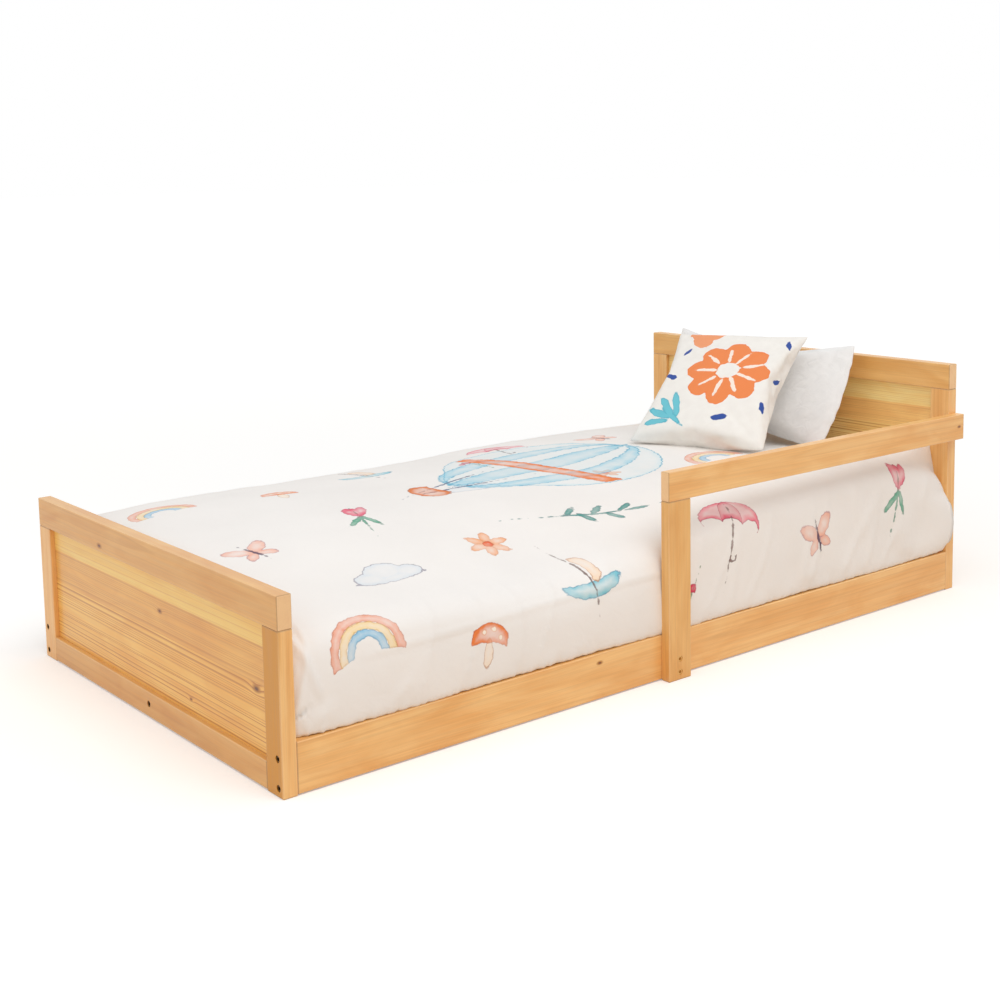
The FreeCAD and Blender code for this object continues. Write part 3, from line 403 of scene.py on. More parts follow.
def through(points, x):
    """The height at x on the smooth line through (x, height) points."""
    places = [point[0] for point in points]
    x = min(max(x, places[0]), places[-1])
    index = min(max(sum(place <= x for place in places) - 1, 0), len(points) - 2)
    slopes = []
    for at in (index, index + 1):
        low = points[max(at - 1, 0)]
        high = points[min(at + 1, len(points) - 1)]
        slopes.append((high[1] - low[1]) / (high[0] - low[0]))
    (x0, y0), (x1, y1) = points[index], points[index + 1]
    run = x1 - x0
    share = (x - x0) / run
    other = 1 - share
    return (y0 * other * other * (1 + 2 * share) + y1 * share * share * (3 - 2 * share)
            + run * (slopes[0] * share * other * other - slopes[1] * share * share * other))


def smooth(value, start, end):
    """From 0 at start to 1 at end, eased at both."""
    share = min(1.0, max(0.0, (value - start) / (end - start)))
    return share * share * (3 - 2 * share)


def between(value, rise, fall):
    """From 0 to 1 over the rise, and from 1 to 0 over the fall."""
    return smooth(value, *rise) * smooth(value, *fall)


def hump(value, middle, half):
    """1 at the middle, falling smoothly to 0 at half a width on both sides."""
    return 1 - smooth(abs(value - middle), 0, half)


def walked(line):
    """How far along a line each of its points is."""
    return np.concatenate(([0.0], np.cumsum(np.linalg.norm(np.diff(line, axis=0), axis=1))))


def rounded_line(points, count):
    """A curve that rounds the corners of a line of (y, z) points, cut into even steps."""
    knots = [points[0], points[0], *points, points[-1], points[-1]]
    dense = []
    for index in range(len(knots) - 3):
        for step in range(KNOT_STEPS):
            t = step / KNOT_STEPS
            weights = ((1 - t) ** 3 / 6, (3 * t ** 3 - 6 * t ** 2 + 4) / 6,
                       (-3 * t ** 3 + 3 * t ** 2 + 3 * t + 1) / 6, t ** 3 / 6)
            dense.append([sum(w * knots[index + k][axis] for k, w in enumerate(weights))
                          for axis in (0, 1)])
    dense = np.array(dense + [points[-1]], float)
    far = walked(dense)
    even = np.linspace(0, far[-1], count)
    return np.stack([np.interp(even, far, dense[:, axis]) for axis in (0, 1)], 1), far[-1]


def bedding_section(x, depth, base, count):
    """The bedding's outline across the bed at x from the foot end, a depth below the quilt's face."""
    rail_low, rail_high = (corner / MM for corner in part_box("side_rail_near"))
    far_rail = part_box("side_rail_far")[0] / MM
    near = rail_low.y + SIDE_MARGIN
    width = far_rail.y + (rail_high.y - rail_low.y) - SIDE_MARGIN - near
    rail_top = rail_high.z
    inner = rail_high.y - near + RAIL_GAP
    reach = min(x - FOOT_FACE, HEAD_FACE - x)
    ending = 1 - math.sqrt(max(0.0, 1 - max(0.0, 1 - reach / END_ROUND) ** 2))
    rounding = FOOT_ROUND if x < BED_MIDDLE else HEAD_ROUND
    drop = rounding["drop"] * ending + depth
    side = rounding["inset"] * ending + depth
    lip = rail_top + LIP_RISE + sum(height * noise.noise((x / length, row, 0.0))
                                    for height, length, row in LIP_WAVES)
    tuck = max(inner, side)
    halves = []
    for shoulder in (NEAR_SHOULDER, FAR_SHOULDER):
        top = through(shoulder, x) - drop
        halves.append([
            (tuck, base), (tuck, rail_top + TUCK_HEIGHTS[0]),
            (max(inner - TUCK_TURN, side), rail_top + TUCK_HEIGHTS[1]),
            *((side + inward, lip + up) for inward, up in HEM_LINE),
            (side + WAIST, (lip + top) / 2),
            *((side + inward, top + up) for inward, up in SHOULDER_LINE)])
    crown = through(CROWN, x) - drop
    points = ([(near + inward, z) for inward, z in halves[0]]
              + [(near + width * share, crown + up) for share, up in CROWN_LINE]
              + [(near + width - inward, z) for inward, z in reversed(halves[1])])
    return rounded_line(points, count)


def even_columns(step):
    """Places along the bedding, closer together where its ends are rounded."""
    start = FOOT_FACE + END_GAP
    end = HEAD_FACE - END_GAP
    foot_end, head_end = ([END_ROUND * (1 - math.cos(math.pi / 2 * k / count)) for k in range(count)]
                          for count in (FOOT_ROUND["columns"], HEAD_ROUND["columns"]))
    middle_count = round((end - start - 2 * END_ROUND) / step)
    middle = list(np.linspace(start + END_ROUND, end - END_ROUND, middle_count + 1))
    return [start + place for place in foot_end] + middle + [end - place for place in reversed(head_end)]


def bedding_grid(depth, base, step):
    """A grid laid over the bed as cloth: its mesh, with the cloth's own millimetres in the UV map."""
    columns = even_columns(step)
    rows = round(CLOTH_WIDTH / step)
    mesh = bmesh.new()
    bmesh.ops.create_grid(mesh, x_segments=len(columns) - 1, y_segments=rows, size=1)
    cloth = mesh.loops.layers.uv.new("cloth")
    sections = [bedding_section(x, depth, base, rows + 1) for x in columns]
    places = {}
    for vert in mesh.verts:
        column = round((vert.co.x + 1) / 2 * (len(columns) - 1))
        row = round((vert.co.y + 1) / 2 * rows)
        line, length = sections[column]
        places[vert] = (columns[column] - columns[0], row / rows * length)
        vert.co = Vector((columns[column] - BED_MIDDLE, *line[row])) * MM
    for face in mesh.faces:
        for loop in face.loops:
            loop[cloth].uv = Vector(places[loop.vert]) * MM
    return mesh, places


def in_scene(name, data):
    """A new object of the scene that holds this data."""
    made = bpy.data.objects.new(name, data)
    bpy.context.scene.collection.objects.link(made)
    return made


def finished(name, mesh, body, slot, material, stands_for):
    """Makes an object of a mesh that rides on a body and stands for a CAD node."""
    made = in_scene(name, bpy.data.meshes.new(name))
    mesh.to_mesh(made.data)
    mesh.free()
    made.data.polygons.foreach_set("use_smooth", [True] * len(made.data.polygons))
    made.data.materials.append(material)
    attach(made, body)
    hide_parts(stands_for)
    return made


# The relief of the quilt's near side, in the bed's millimetres: how far each of its forms stands out, and
# the nick goes in.
RELIEF = {"fold": 1.8, "head_fold": 3.6, "wrinkle": 2.4, "seam": 2.0, "pucker": 0.4, "corner": 3.4,
          "nick": 5.0, "pinch": 2.0}
# Waves of noise on the side: their length along it, the drop over which they lean as far, their length down
# it, and their place in the noise.
FOLD_WAVES = (46, 120, 260, 9.4)
WRINKLE_WAVES = (64, -200, 330, 3.6)
PUCKER_WAVES = (8, math.inf, math.inf, 4.4)
PINCH_WAVES = (7.5, math.inf, 34, 2.2)
WRINKLE_WIDTH = 0.1
# The cloth hangs loose above its hem, is fuller towards the head and is pinched where it goes in.
LOOSE_ABOVE = (82, 112)
FULLER_TOWARDS_HEAD = (180, 420)
PINCHED_BELOW = (100, 84)
# A seam: its height at the bed's middle, its slope, where it starts and ends, and the middle and half width
# of its ridge and of the puckers below it.
SEAM_HEIGHT = 179.4
SEAM_SLOPE = 0.018
SEAM_REACH = ((-640, -560), (-20, -70))
SEAM_RIDGE = (0, 7)
SEAM_PUCKERS = (-9, 8)
# The fold's edge at the foot corner: its top, how far it leans, how it rises and falls off across the edge
# and over its height, and a nick low in it with its lean and its half width along and up.
CORNER_TOP = (-716, 236)
CORNER_LEAN = 0.31
CORNER_EDGE = ((-16, -1.5), (2.2, -1.2))
CORNER_HEIGHTS = ((118, 142), (244, 230))
NICK_PLACE = (-716, 108)
NICK_LEAN = 1.4
NICK_HALF = (6, 14)


def waves(x, z, along, slant, down, row):
    """Noise from -1 to 1 in waves that lean as they run down the side."""
    return noise.noise((x / along + z / slant, z / down, row))


def near_side_relief(x, z):
    """How far the quilt's near side stands out, in millimetres, at a place above its rail."""
    loose = smooth(z, *LOOSE_ABOVE)
    fullness = RELIEF["fold"] + RELIEF["head_fold"] * smooth(x, *FULLER_TOWARDS_HEAD)
    folds = waves(x, z, *FOLD_WAVES) * fullness * loose
    wrinkle = max(0.0, 1 - abs(waves(x, z, *WRINKLE_WAVES)) / WRINKLE_WIDTH) * loose
    # The seam stands out along the quilt's side, with small puckers below it.
    over_seam = z - SEAM_HEIGHT - x * SEAM_SLOPE
    puckers = (1 + 0.7 * waves(x, z, *PUCKER_WAVES)) * hump(over_seam, *SEAM_PUCKERS)
    seam = RELIEF["seam"] * hump(over_seam, *SEAM_RIDGE) - RELIEF["pucker"] * puckers
    # The foot corner is folded under: its upper layer ends in an edge that runs down from the shoulder.
    past_edge = x - CORNER_TOP[0] - (CORNER_TOP[1] - z) * CORNER_LEAN
    corner = between(past_edge, *CORNER_EDGE) * between(z, *CORNER_HEIGHTS)
    over_nick = z - NICK_PLACE[1]
    past_nick = x - NICK_PLACE[0] - over_nick * NICK_LEAN
    nick = hump(past_nick, 0, NICK_HALF[0]) * hump(over_nick, 0, NICK_HALF[1])
    pinched = waves(x, z, *PINCH_WAVES) * smooth(z, *PINCHED_BELOW)
    return (folds + RELIEF["wrinkle"] * wrinkle + seam * between(x, *SEAM_REACH) + RELIEF["corner"] * corner
            - RELIEF["nick"] * nick + RELIEF["pinch"] * pinched)


# How far from the cloth's near hem its side's relief gives way to the creases of its top, and the waves of
# the top: their lengths along and across the cloth, their place in the noise and their height.
SIDE_OF_CLOTH = (236, 170)
SWELLS = (210, 170, 1.7, 2.4)
CREASES = (64, 300, 5.2, 0.8)


def quilt_relief(u, v, spot):
    """How far the quilt's face stands out, in millimetres, at a place on its cloth and in the bed."""
    along, across, row, height = SWELLS
    swell = noise.fractal((u / along, v / across, row), 1.0, 2.0, 3) * height
    along, across, row, height = CREASES
    crease = noise.noise((u / along, v / across, row)) * height
    on_side = smooth(v, *SIDE_OF_CLOTH)
    return swell + crease * (1 - on_side) + near_side_relief(spot.x / MM, spot.z / MM) * on_side


# The quilt's end bulges round the head's near stile: its line seen from above, from x along the near side to
# x inside the frame, and the heights between which it swells, in the bed's millimetres.
BULGE_LINE = ((627.5, -391), (665, -393), (700, -397.5), (728, -400), (740, -398.4), (744, -395.5),
              (743, -392.8), (736, -391.9), (728, -391.6), (726.4, -388), (726.4, -384))
BULGE_COLUMNS = 18
BULGE_MIDDLE = 132
BULGE_RISE = 62
BULGE_FALL = 52
# The part of the cloth that may bulge: beyond this along it, and nearer than this to its near hem.
BULGE_FROM = 1200
BULGE_WITHIN = 230
# Where the quilt is pushed up behind the stile: along the bed, across it, and up to which height.
PUFF_ALONG = (600, 712)
PUFF_ACROSS = ((-364, -345), (-232, -300))
PUFF_TOP = 285


def bulged(spot, from_end):
    """Moves a place on the quilt's near side, some columns from its head end, out round the stile."""
    height = spot.z / MM - BULGE_MIDDLE
    share = abs(height) / (BULGE_RISE if height > 0 else BULGE_FALL)
    if from_end > BULGE_COLUMNS or share >= 1:
        return spot
    swell = 1 - share * share
    line = np.array(BULGE_LINE)
    far = walked(line)
    at = (1 - from_end / BULGE_COLUMNS) * far[-1]
    x, y = (np.interp(at, far, line[:, axis]) * MM for axis in (0, 1))
    return Vector((spot.x + (x - spot.x) * swell, spot.y + (y - spot.y) * swell, spot.z))


def head_puff(spot):
    """How far the quilt is pushed up where it is tucked in behind the head's near stile."""
    x, y, z = (part / MM for part in spot)
    share = smooth(x, *PUFF_ALONG) * between(y, *PUFF_ACROSS)
    return share * max(0.0, PUFF_TOP - z) * MM


def quilt(material):
    """The filled quilt over the mattress, its hem tucked inside the rails."""
    rail_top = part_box("side_rail_near")[1].z / MM
    mesh, places = bedding_grid(0, rail_top - HEM_TUCK, CLOTH_STEP)
    mesh.normal_update()
    shifts = [(vert, vert.normal * quilt_relief(*places[vert], vert.co) * MM) for vert in mesh.verts]
    for vert, shift in shifts:
        vert.co += shift
        vert.co.z += head_puff(vert.co)
    ends = sorted({round(place[0], 3) for place in places.values()}, reverse=True)
    for vert in mesh.verts:
        u, v = places[vert]
        if u > BULGE_FROM and v < BULGE_WITHIN:
            vert.co = bulged(vert.co, ends.index(round(u, 3)))
    made = finished("quilt_cover", mesh, "bedding", "quilt_cotton", material, "quilt")
    wadding = made.modifiers.new("wadding", "SOLIDIFY")
    wadding.thickness = QUILT_THICKNESS * MM
    wadding.offset = -1


MATTRESS_LIFT = 6
MATTRESS_STEP = 20


def mattress(material):
    """The foam mattress in its ticking, under the quilt."""
    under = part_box("mattress")[0].z
    mesh, _ = bedding_grid(FILLING_DEPTH, under / MM + MATTRESS_LIFT, MATTRESS_STEP)
    rim = [edge for edge in mesh.edges if edge.is_boundary]
    drawn = bmesh.ops.extrude_edge_only(mesh, edges=rim)["geom"]
    for part in drawn:
        if isinstance(part, bmesh.types.BMVert):
            part.co.z = under
    bmesh.ops.contextual_create(mesh, geom=[part for part in drawn if isinstance(part, bmesh.types.BMEdge)])
    bmesh.ops.recalc_face_normals(mesh, faces=mesh.faces)
    made = finished("foam_mattress", mesh, "bedding", "mattress_ticking", material, "mattress")


# The pads in millimetres: sides and thickness when filled, degrees of lean, turn and twist in their own
# plane, the grid's squares, by what share the filling slumps from the middle to the lower edge, how far the
# near edge swells out, as a curve over the height, its ruffles, and how far the lower edge sags.
PADS = {
    "pillow": {"sides": (226, 470, 84), "lean": 66, "turn": 0, "twist": 0, "squares": (30, 58),
               "slump": 0.28, "near_edge": (20, 8, -16), "ruffle": 3.0, "sag": 13},
    "cushion": {"sides": (314, 286, 84), "lean": 37.4, "turn": 17.4, "twist": 2.4, "squares": (46, 42),
                "slump": 0.144, "near_edge": (0, 0, 0), "ruffle": 0.0, "sag": 10}}
RUFFLE_LENGTH = 13
# The sewn cloth before it is filled: how much larger it is than the pad, how far its layers stand apart,
# over which share of its width they close, and how far the back layer lies from the front in the UV map.
SLACK_CLOTH = 1.06
SEWN_LOFT = 4
SEWN_RIM = 0.4
BACK_CLOTH_AT = 0.6
# The cloth and its filling while a pad is stuffed, in the simulation's own units.
FILLING_STEPS = 26
FILLING = {"quality": 6, "mass": 0.25, "tension_stiffness": 18, "compression_stiffness": 14,
           "shear_stiffness": 6, "bending_stiffness": 0.12, "use_pressure": True,
           "uniform_pressure_force": 1.9}


def sewn_pad(height, width, squares):
    """Two layers of cloth sewn together along their rim, lying flat and almost touching."""
    mesh = bmesh.new()
    layers = []
    for side in (1, -1):
        made = bmesh.ops.create_grid(mesh, x_segments=squares[0], y_segments=squares[1], size=1)["verts"]
        for vert in made:
            rim = min(1 - abs(vert.co.x), 1 - abs(vert.co.y))
            lift = SEWN_LOFT * smooth(rim, 0, SEWN_RIM) * side
            vert.co = Vector((vert.co.x * height / 2, vert.co.y * width / 2, lift)) * MM
        layers.append({face for vert in made for face in vert.link_faces})
    cloth = mesh.loops.layers.uv.new("cloth")
    for face in mesh.faces:
        for loop in face.loops:
            shift = 0 if face in layers[0] else BACK_CLOTH_AT
            loop[cloth].uv = (loop.vert.co.x + shift, loop.vert.co.y)
    bmesh.ops.reverse_faces(mesh, faces=list(layers[1]))
    bmesh.ops.remove_doubles(mesh, verts=mesh.verts, dist=0.01 * MM)
    return mesh


def stuffed(flat):
    """Fills a sewn pad: its cloth swells under pressure, and the mesh that it settles to is returned."""
    data = bpy.data.meshes.new("sewn_cloth")
    flat.to_mesh(data)
    flat.free()
    shell = in_scene("sewn_cloth", data)
    swelling = shell.modifiers.new("filling", "CLOTH")
    for setting, value in FILLING.items():
        setattr(swelling.settings, setting, value)
    swelling.settings.effector_weights.gravity = 0
    swelling.collision_settings.use_collision = False
    swelling.point_cache.frame_end = FILLING_STEPS
    for step in range(1, FILLING_STEPS + 1):
        bpy.context.scene.frame_set(step)
    evaluated = shell.evaluated_get(bpy.context.evaluated_depsgraph_get())
    filled = bmesh.new()
    filled.from_mesh(evaluated.to_mesh())
    evaluated.to_mesh_clear()
    bpy.data.objects.remove(shell)
    bpy.data.meshes.remove(data)
    bpy.context.scene.frame_set(1)
    return filled


def pad(name, object_name, slot, material):
    """A stuffed pad that leans where its CAD solid does."""
    facts = PADS[name]
    height, width, _ = facts["sides"]
    mesh = stuffed(sewn_pad(height * SLACK_CLOTH, width * SLACK_CLOTH, facts["squares"]))
    extent = [max(abs(vert.co[axis]) for vert in mesh.verts) for axis in range(3)]
    wanted = [side / 2 * MM for side in facts["sides"]]
    flat, rise, fall = facts["near_edge"]
    for vert in mesh.verts:
        vert.co = Vector([vert.co[axis] * wanted[axis] / extent[axis] for axis in range(3)])
        up = vert.co.x / wanted[0]
        vert.co.z *= 1 - facts["slump"] * up
        nearness = max(0.0, -vert.co.y / wanted[1])
        ruffle = facts["ruffle"] * noise.noise((vert.co.x / MM / RUFFLE_LENGTH, 6.1, 0.0)) * nearness ** 4
        vert.co.y -= ((flat + rise * up + fall * up * up) * nearness + ruffle) * MM
        inside = 1 - min(1.0, (vert.co.y / wanted[1]) ** 2)
        vert.co.x -= facts["sag"] * max(0.0, -up) * inside * MM
    low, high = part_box(name)
    turn, lean, twist = (Matrix.Rotation(math.radians(angle), 4, axis) for angle, axis in
                         ((facts["turn"], "Z"), (-facts["lean"], "Y"), (facts["twist"], "Z")))
    place = Matrix.Translation((low + high) / 2) @ turn @ lean @ twist
    bmesh.ops.transform(mesh, matrix=place, verts=mesh.verts)
    made = finished(object_name, mesh, name, slot, material, name)
    rounding = made.modifiers.new("rounding", "SUBSURF")
    rounding.levels = rounding.render_levels = 1


def camera():
    """The scene's camera, turned by its yaw, pitch and roll in degrees."""
    made = in_scene("camera", bpy.data.cameras.new("camera"))
    made.data.lens = CAMERA_LENS
    made.data.shift_y = CAMERA_SHIFT
    yaw, pitch, roll = (math.radians(angle) for angle in (CAMERA_YAW, CAMERA_PITCH, CAMERA_ROLL))
    ahead = Vector((math.cos(yaw) * math.cos(pitch), math.sin(yaw) * math.cos(pitch), -math.sin(pitch)))
    right = Vector((math.sin(yaw), -math.cos(yaw), 0))
    up = right.cross(ahead)
    rolled_right = right * math.cos(roll) + up * math.sin(roll)
    rolled_up = up * math.cos(roll) - right * math.sin(roll)
    turn = Matrix((rolled_right, rolled_up, -ahead)).transposed()
    made.matrix_world = Matrix.Translation(CAMERA_PLACE) @ turn.to_4x4()
    bpy.context.scene.camera = made


WORLD_LIGHT = 0.6
FLOOR_HALF = 40
FLOOR_COLOUR = "#F0EFED"
FLOOR_BOUNCE = "#ECDBC9"
# How strongly the floor glows to the camera, near the bed and far from it, and between which distances.
FLOOR_LIFT = 0.24
FAR_FLOOR_LIFT = 0.5
FLOOR_LIFT_REACH = (0.9, 4.5)
LAMPS_AIM = (0, 0, 0.2)
LAMPS = {"key": {"place": (-0.5, -2.1, 4.0), "size": 3.0, "power": 80, "glossy": True},
         "fill": {"place": (-3.2, 0.6, 1.9), "size": 2.5, "power": 14, "glossy": False}}


def lamp(name, place, size, power, glossy):
    """A square soft light aimed at the bed."""
    made = in_scene(name, bpy.data.lights.new(name, "AREA"))
    made.data.size = size
    made.data.energy = power
    made.visible_glossy = glossy
    aim = (Vector(LAMPS_AIM) - Vector(place)).to_track_quat("-Z", "Y")
    made.matrix_world = Matrix.Translation(place) @ aim.to_matrix().to_4x4()


def seen_by(tree, first, *others):
    """1 to any of these kinds of ray, as the camera's, and 0 to the light that falls on the bed."""
    paths = add(tree, "LightPath").outputs
    seen = paths[f"Is {first} Ray"]
    for ray in others:
        seen = add(tree, "Math", {0: seen, 1: paths[f"Is {ray} Ray"]}, operation="MAXIMUM")
    return seen


def studio():
    """A white room: a floor that keeps the shadow, a white world for the camera and soft lamps."""
    world = bpy.data.worlds.new("studio")
    bpy.context.scene.world = world
    world.use_nodes = True
    tree = world.node_tree
    tree.nodes.clear()
    seen = seen_by(tree, "Camera", "Glossy", "Transmission")
    strength = add(tree, "MapRange", {0: seen, 3: WORLD_LIGHT, 4: 1.0})
    sky = add(tree, "Background", {"Color": "#FFFFFF", "Strength": strength})
    add(tree, "OutputWorld", {0: sky})

    mesh = bmesh.new()
    bmesh.ops.create_grid(mesh, x_segments=1, y_segments=1, size=FLOOR_HALF)
    floor = in_scene("floor", bpy.data.meshes.new("floor"))
    mesh.to_mesh(floor.data)
    mesh.free()
    made, tree = new_material("white_floor")
    seen = seen_by(tree, "Camera", "Glossy")
    away = add(tree, "VectorMath", {0: add(tree, "TexCoord").outputs["Object"]}, operation="LENGTH")
    near, far = FLOOR_LIFT_REACH
    lift = add(tree, "MapRange", {0: away.outputs["Value"], 1: near, 2: far, 3: FLOOR_LIFT,
                                  4: FAR_FLOOR_LIFT}, clamp=True)
    glow = add(tree, "Math", {0: seen, 1: lift}, operation="MULTIPLY")
    # What the floor throws back on the bed is warm, as from a wooden floor.
    bounce = add(tree, "Mix", {0: seen, 6: FLOOR_BOUNCE, 7: FLOOR_COLOUR}, data_type="RGBA")
    matte = add(tree, "BsdfPrincipled", {"Base Color": bounce.outputs[2], "Roughness": 1.0,
                                         "Specular IOR Level": 0.0,
                                         "Emission Color": "#FFFFFF", "Emission Strength": glow})
    add(tree, "OutputMaterial", {0: matte})
    floor.data.materials.append(made)

    for name, facts in LAMPS.items():
        lamp(name, **facts)


def oval(tree, place, facts):
    """How far a place is outside an oval of (x, y, half length, half width, degrees of turn), up to 7 half
    widths away: a ball of fading light, 8 times the oval's size, is 7/8 bright on its rim."""
    x, y, half_long, half_wide, turn = facts
    shaped = add(tree, "Mapping", {0: place, 1: (x, y, 0), 2: (0, 0, math.radians(turn)),
                                   3: (8 * half_long, 8 * half_wide, 1)}, vector_type="TEXTURE")
    ball = add(tree, "TexGradient", {0: shaped}, gradient_type="SPHERICAL").outputs["Fac"]
    return add(tree, "Math", {0: ball, 1: -8 * half_wide, 2: 7 * half_wide}, operation="MULTIPLY_ADD")


def joined(tree, place, ovals, softness):
    """How far a place is outside several ovals that run into each other like wet paint."""
    total = oval(tree, place, ovals[0])
    for facts in ovals[1:]:
        total = add(tree, "Math", {0: total, 1: oval(tree, place, facts), 2: softness},
                    operation="SMOOTH_MIN")
    return total


def brush_group():
    """Watercolour on cloth: a thin wash that pools towards its rim, inside a pencil line that comes and
    goes. Distances are millimetres."""
    tree, given = new_group(
        "brushed_wash",
        [("Under", "Color"), ("Outside", "Float"), ("Wash", "Color"), ("Line", "Color"), ("Body", "Float"),
         ("Ink", "Float"), ("Blot", "Float"), ("Wobble", "Float")],
        [("Color", "Color")])
    # A smooth range needs no clamp, and the mixes clamp their shares: a clamp of its own is worked out
    # only after the rest of the print, and then the many values that wait for it are too much to hold.
    eased = {"interpolation_type": "SMOOTHSTEP", "clamp": False}
    outside = add(tree, "Math", {0: given["Outside"], 1: given["Wobble"]}, operation="ADD")
    inside = add(tree, "MapRange", {0: outside, 1: 0.9, 2: -1.1}, **eased)
    pooled = add(tree, "MapRange", {0: outside, 1: -12.0, 2: 0.0, 3: 0.42, 4: 1.0}, **eased)
    thin = add(tree, "Math", {0: pooled, 1: given["Blot"]}, operation="MULTIPLY")
    full = add(tree, "Math", {0: thin, 1: given["Body"]}, operation="MULTIPLY")
    share = add(tree, "Math", {0: full, 1: inside}, operation="MULTIPLY")
    washed = add(tree, "Mix", {0: share, 6: given["Under"], 7: given["Wash"]}, data_type="RGBA")
    away = add(tree, "Math", {0: outside}, operation="ABSOLUTE")
    pencil = add(tree, "MapRange", {0: away, 1: 1.4, 2: 0.2}, **eased)
    pressed = add(tree, "Math", {0: pencil, 1: given["Blot"]}, operation="MULTIPLY")
    drawn = add(tree, "Math", {0: pressed, 1: given["Ink"]}, operation="MULTIPLY")
    inked = add(tree, "Mix", {0: drawn, 6: washed.outputs[2], 7: given["Line"]}, data_type="RGBA")
    add(tree, "NodeGroupOutput", {"Color": inked.outputs[2]})
    return tree


def motif_group(name, brush, parts):
    """One printed motif, drawn in millimetres round its middle, as a list of painted parts."""
    tree, given = new_group(
        name, [("Place", "Vector"), ("Under", "Color"), ("Blot", "Float"), ("Wobble", "Float")],
        [("Color", "Color")])
    colour = given["Under"]
    for part in parts:
        outside = joined(tree, given["Place"], part["ovals"], part.get("softness", 3.0))
        for facts in part.get("without", ()):
            hole = add(tree, "Math", {0: oval(tree, given["Place"], facts), 1: -1.0}, operation="MULTIPLY")
            outside = add(tree, "Math", {0: outside, 1: hole}, operation="MAXIMUM")
        for facts in part.get("within", ()):
            outside = add(tree, "Math", {0: outside, 1: oval(tree, given["Place"], facts)},
                          operation="MAXIMUM")
        colour = add(tree, "Group", {
            "Blot": given["Blot"], "Wobble": given["Wobble"], "Under": colour, "Outside": outside,
            "Wash": part["wash"], "Line": part["line"], "Body": part["body"],
            "Ink": part.get("ink", 0.7)}, node_tree=brush).outputs[0]
    add(tree, "NodeGroupOutput", {"Color": colour})
    return tree


def petals(count, reach, half_long, half_wide, start=0):
    """Ovals that stand round a middle like petals."""
    ovals = []
    for index in range(count):
        turn = start + 360 * index / count
        angle = math.radians(turn)
        ovals.append((reach * math.cos(angle), reach * math.sin(angle), half_long, half_wide, turn))
    return ovals


def painted(wash, line, body, *ovals, **shape):
    """A painted part of a motif: the colours of its wash and its pencil line, how full the wash is, and the
    ovals that make it, with what softens, cuts or bounds them."""
    return {"wash": wash, "line": line, "body": body, "ovals": ovals, **shape}


# An oval that cuts off what lies below a motif's middle.
BELOW = (0, -70, 110, 70, 0)
# The colours and fullness of what several parts are painted with.
STICK = ("#8A6F6A", "#6E5650", 1.0)
BALLOON_BLUE = ("#8CCDE2", "#57AECB", 0.75)
MOTIFS = {
    "cloud": [painted("#BFD7EA", "#857F92", 0.42, (-34, -4, 30, 19, 0), (-2, 10, 34, 26, 0),
                      (36, -3, 27, 18, 0), (0, -13, 60, 12, 0), ink=0.8)],
    "daisy": [painted("#F4A66A", "#D8813E", 0.9, *petals(6, 19, 15, 8)),
              painted("#E8653A", "#C24E2A", 1.1, (0, 0, 8, 8, 0))],
    "umbrella": [painted("#EE6F86", "#B23A58", 0.95, (0, 0, 62, 52, 0),
                         without=((-42, -5, 21, 13, 0), (0, -5, 21, 13, 0), (42, -5, 21, 13, 0), BELOW)),
                 painted("#D93F62", "#A02E50", 0.5, (0, 0, 21, 52, 0), without=((0, -5, 21, 13, 0), BELOW)),
                 painted(*STICK, (0, -28, 34, 1.3, 90)),
                 painted(*STICK, (7, -62, 8, 8, 0), without=((7, -62, 5.5, 5.5, 0), (7, -50, 12, 10, 0)))],
    "boat": [painted("#7CC8D8", "#3C8FAE", 0.9, (0, 0, 56, 26, 0), without=((0, 40, 100, 42, 0),)),
             painted("#F8D9B8", "#C08458", 0.8, (12, 30, 34, 17, 90), without=((-22, 26, 50, 30, 90),)),
             painted(*STICK, (-1, 26, 38, 1.2, 90))],
    "tulip": [painted("#5FA98C", "#3D7F6A", 1.0, (0, -16, 36, 1.6, 92), (-14, -26, 24, 5.5, 58),
                      (13, -22, 22, 5, 118)),
              painted("#E65A78", "#B83456", 1.0, (-9, 28, 24, 10, 104), (9, 28, 24, 10, 76),
                      (0, 24, 24, 11, 90))],
    "branch": [painted("#3E938C", "#2C6E6E", 1.0, (0, 0, 64, 1.5, 8), (-40, 8, 15, 5, 60),
                       (-18, -14, 16, 5, -52), (2, 14, 17, 5, 58), (24, -9, 15, 5, -46),
                       (44, 17, 14, 4.5, 50), (62, 8, 12, 4, 8), softness=1.0)],
    "mushroom": [painted("#FBE6CE", "#B9825A", 0.9, (0, -16, 24, 9, 90)),
                 painted("#EE8140", "#C4602B", 1.1, (0, 8, 38, 28, 0), without=((0, -22, 60, 26, 0),)),
                 painted("#FDF1E2", "#E8A070", 1.6, (-14, 20, 5, 4, 0), (6, 26, 6, 4, 0),
                         (22, 13, 4, 4, 0))],
    "butterfly": [painted("#F3B39A", "#B97F86", 0.85, (-20, 15, 25, 13, 142), (20, 15, 25, 13, 38),
                          (-15, -13, 16, 9, 222), (15, -13, 16, 9, -42)),
                  painted("#6B5266", "#4E3B4C", 1.2, (0, 0, 21, 2.2, 90))],
    "rainbow": [painted(wash, line, body, (0, 0, outer, outer, 0), without=((0, 0, inner, inner, 0), BELOW))
                for wash, line, body, outer, inner in (("#F0946A", "#C96F4A", 0.8, 60, 47),
                                                       ("#F7D48E", "#D6A85A", 0.8, 46, 34),
                                                       ("#93C6E2", "#5C9CC0", 0.9, 33, 22))],
    "berries": [painted("#7F9A6A", "#5E7A50", 1.0, (0, -8, 26, 1.2, 70), (12, -4, 18, 1.2, 40)),
                painted("#D63C5A", "#A42743", 1.2, (9, 18, 8, 8, 0), (26, 8, 7, 7, 0), (-8, 14, 6, 6, 0),
                        softness=0.5)]}
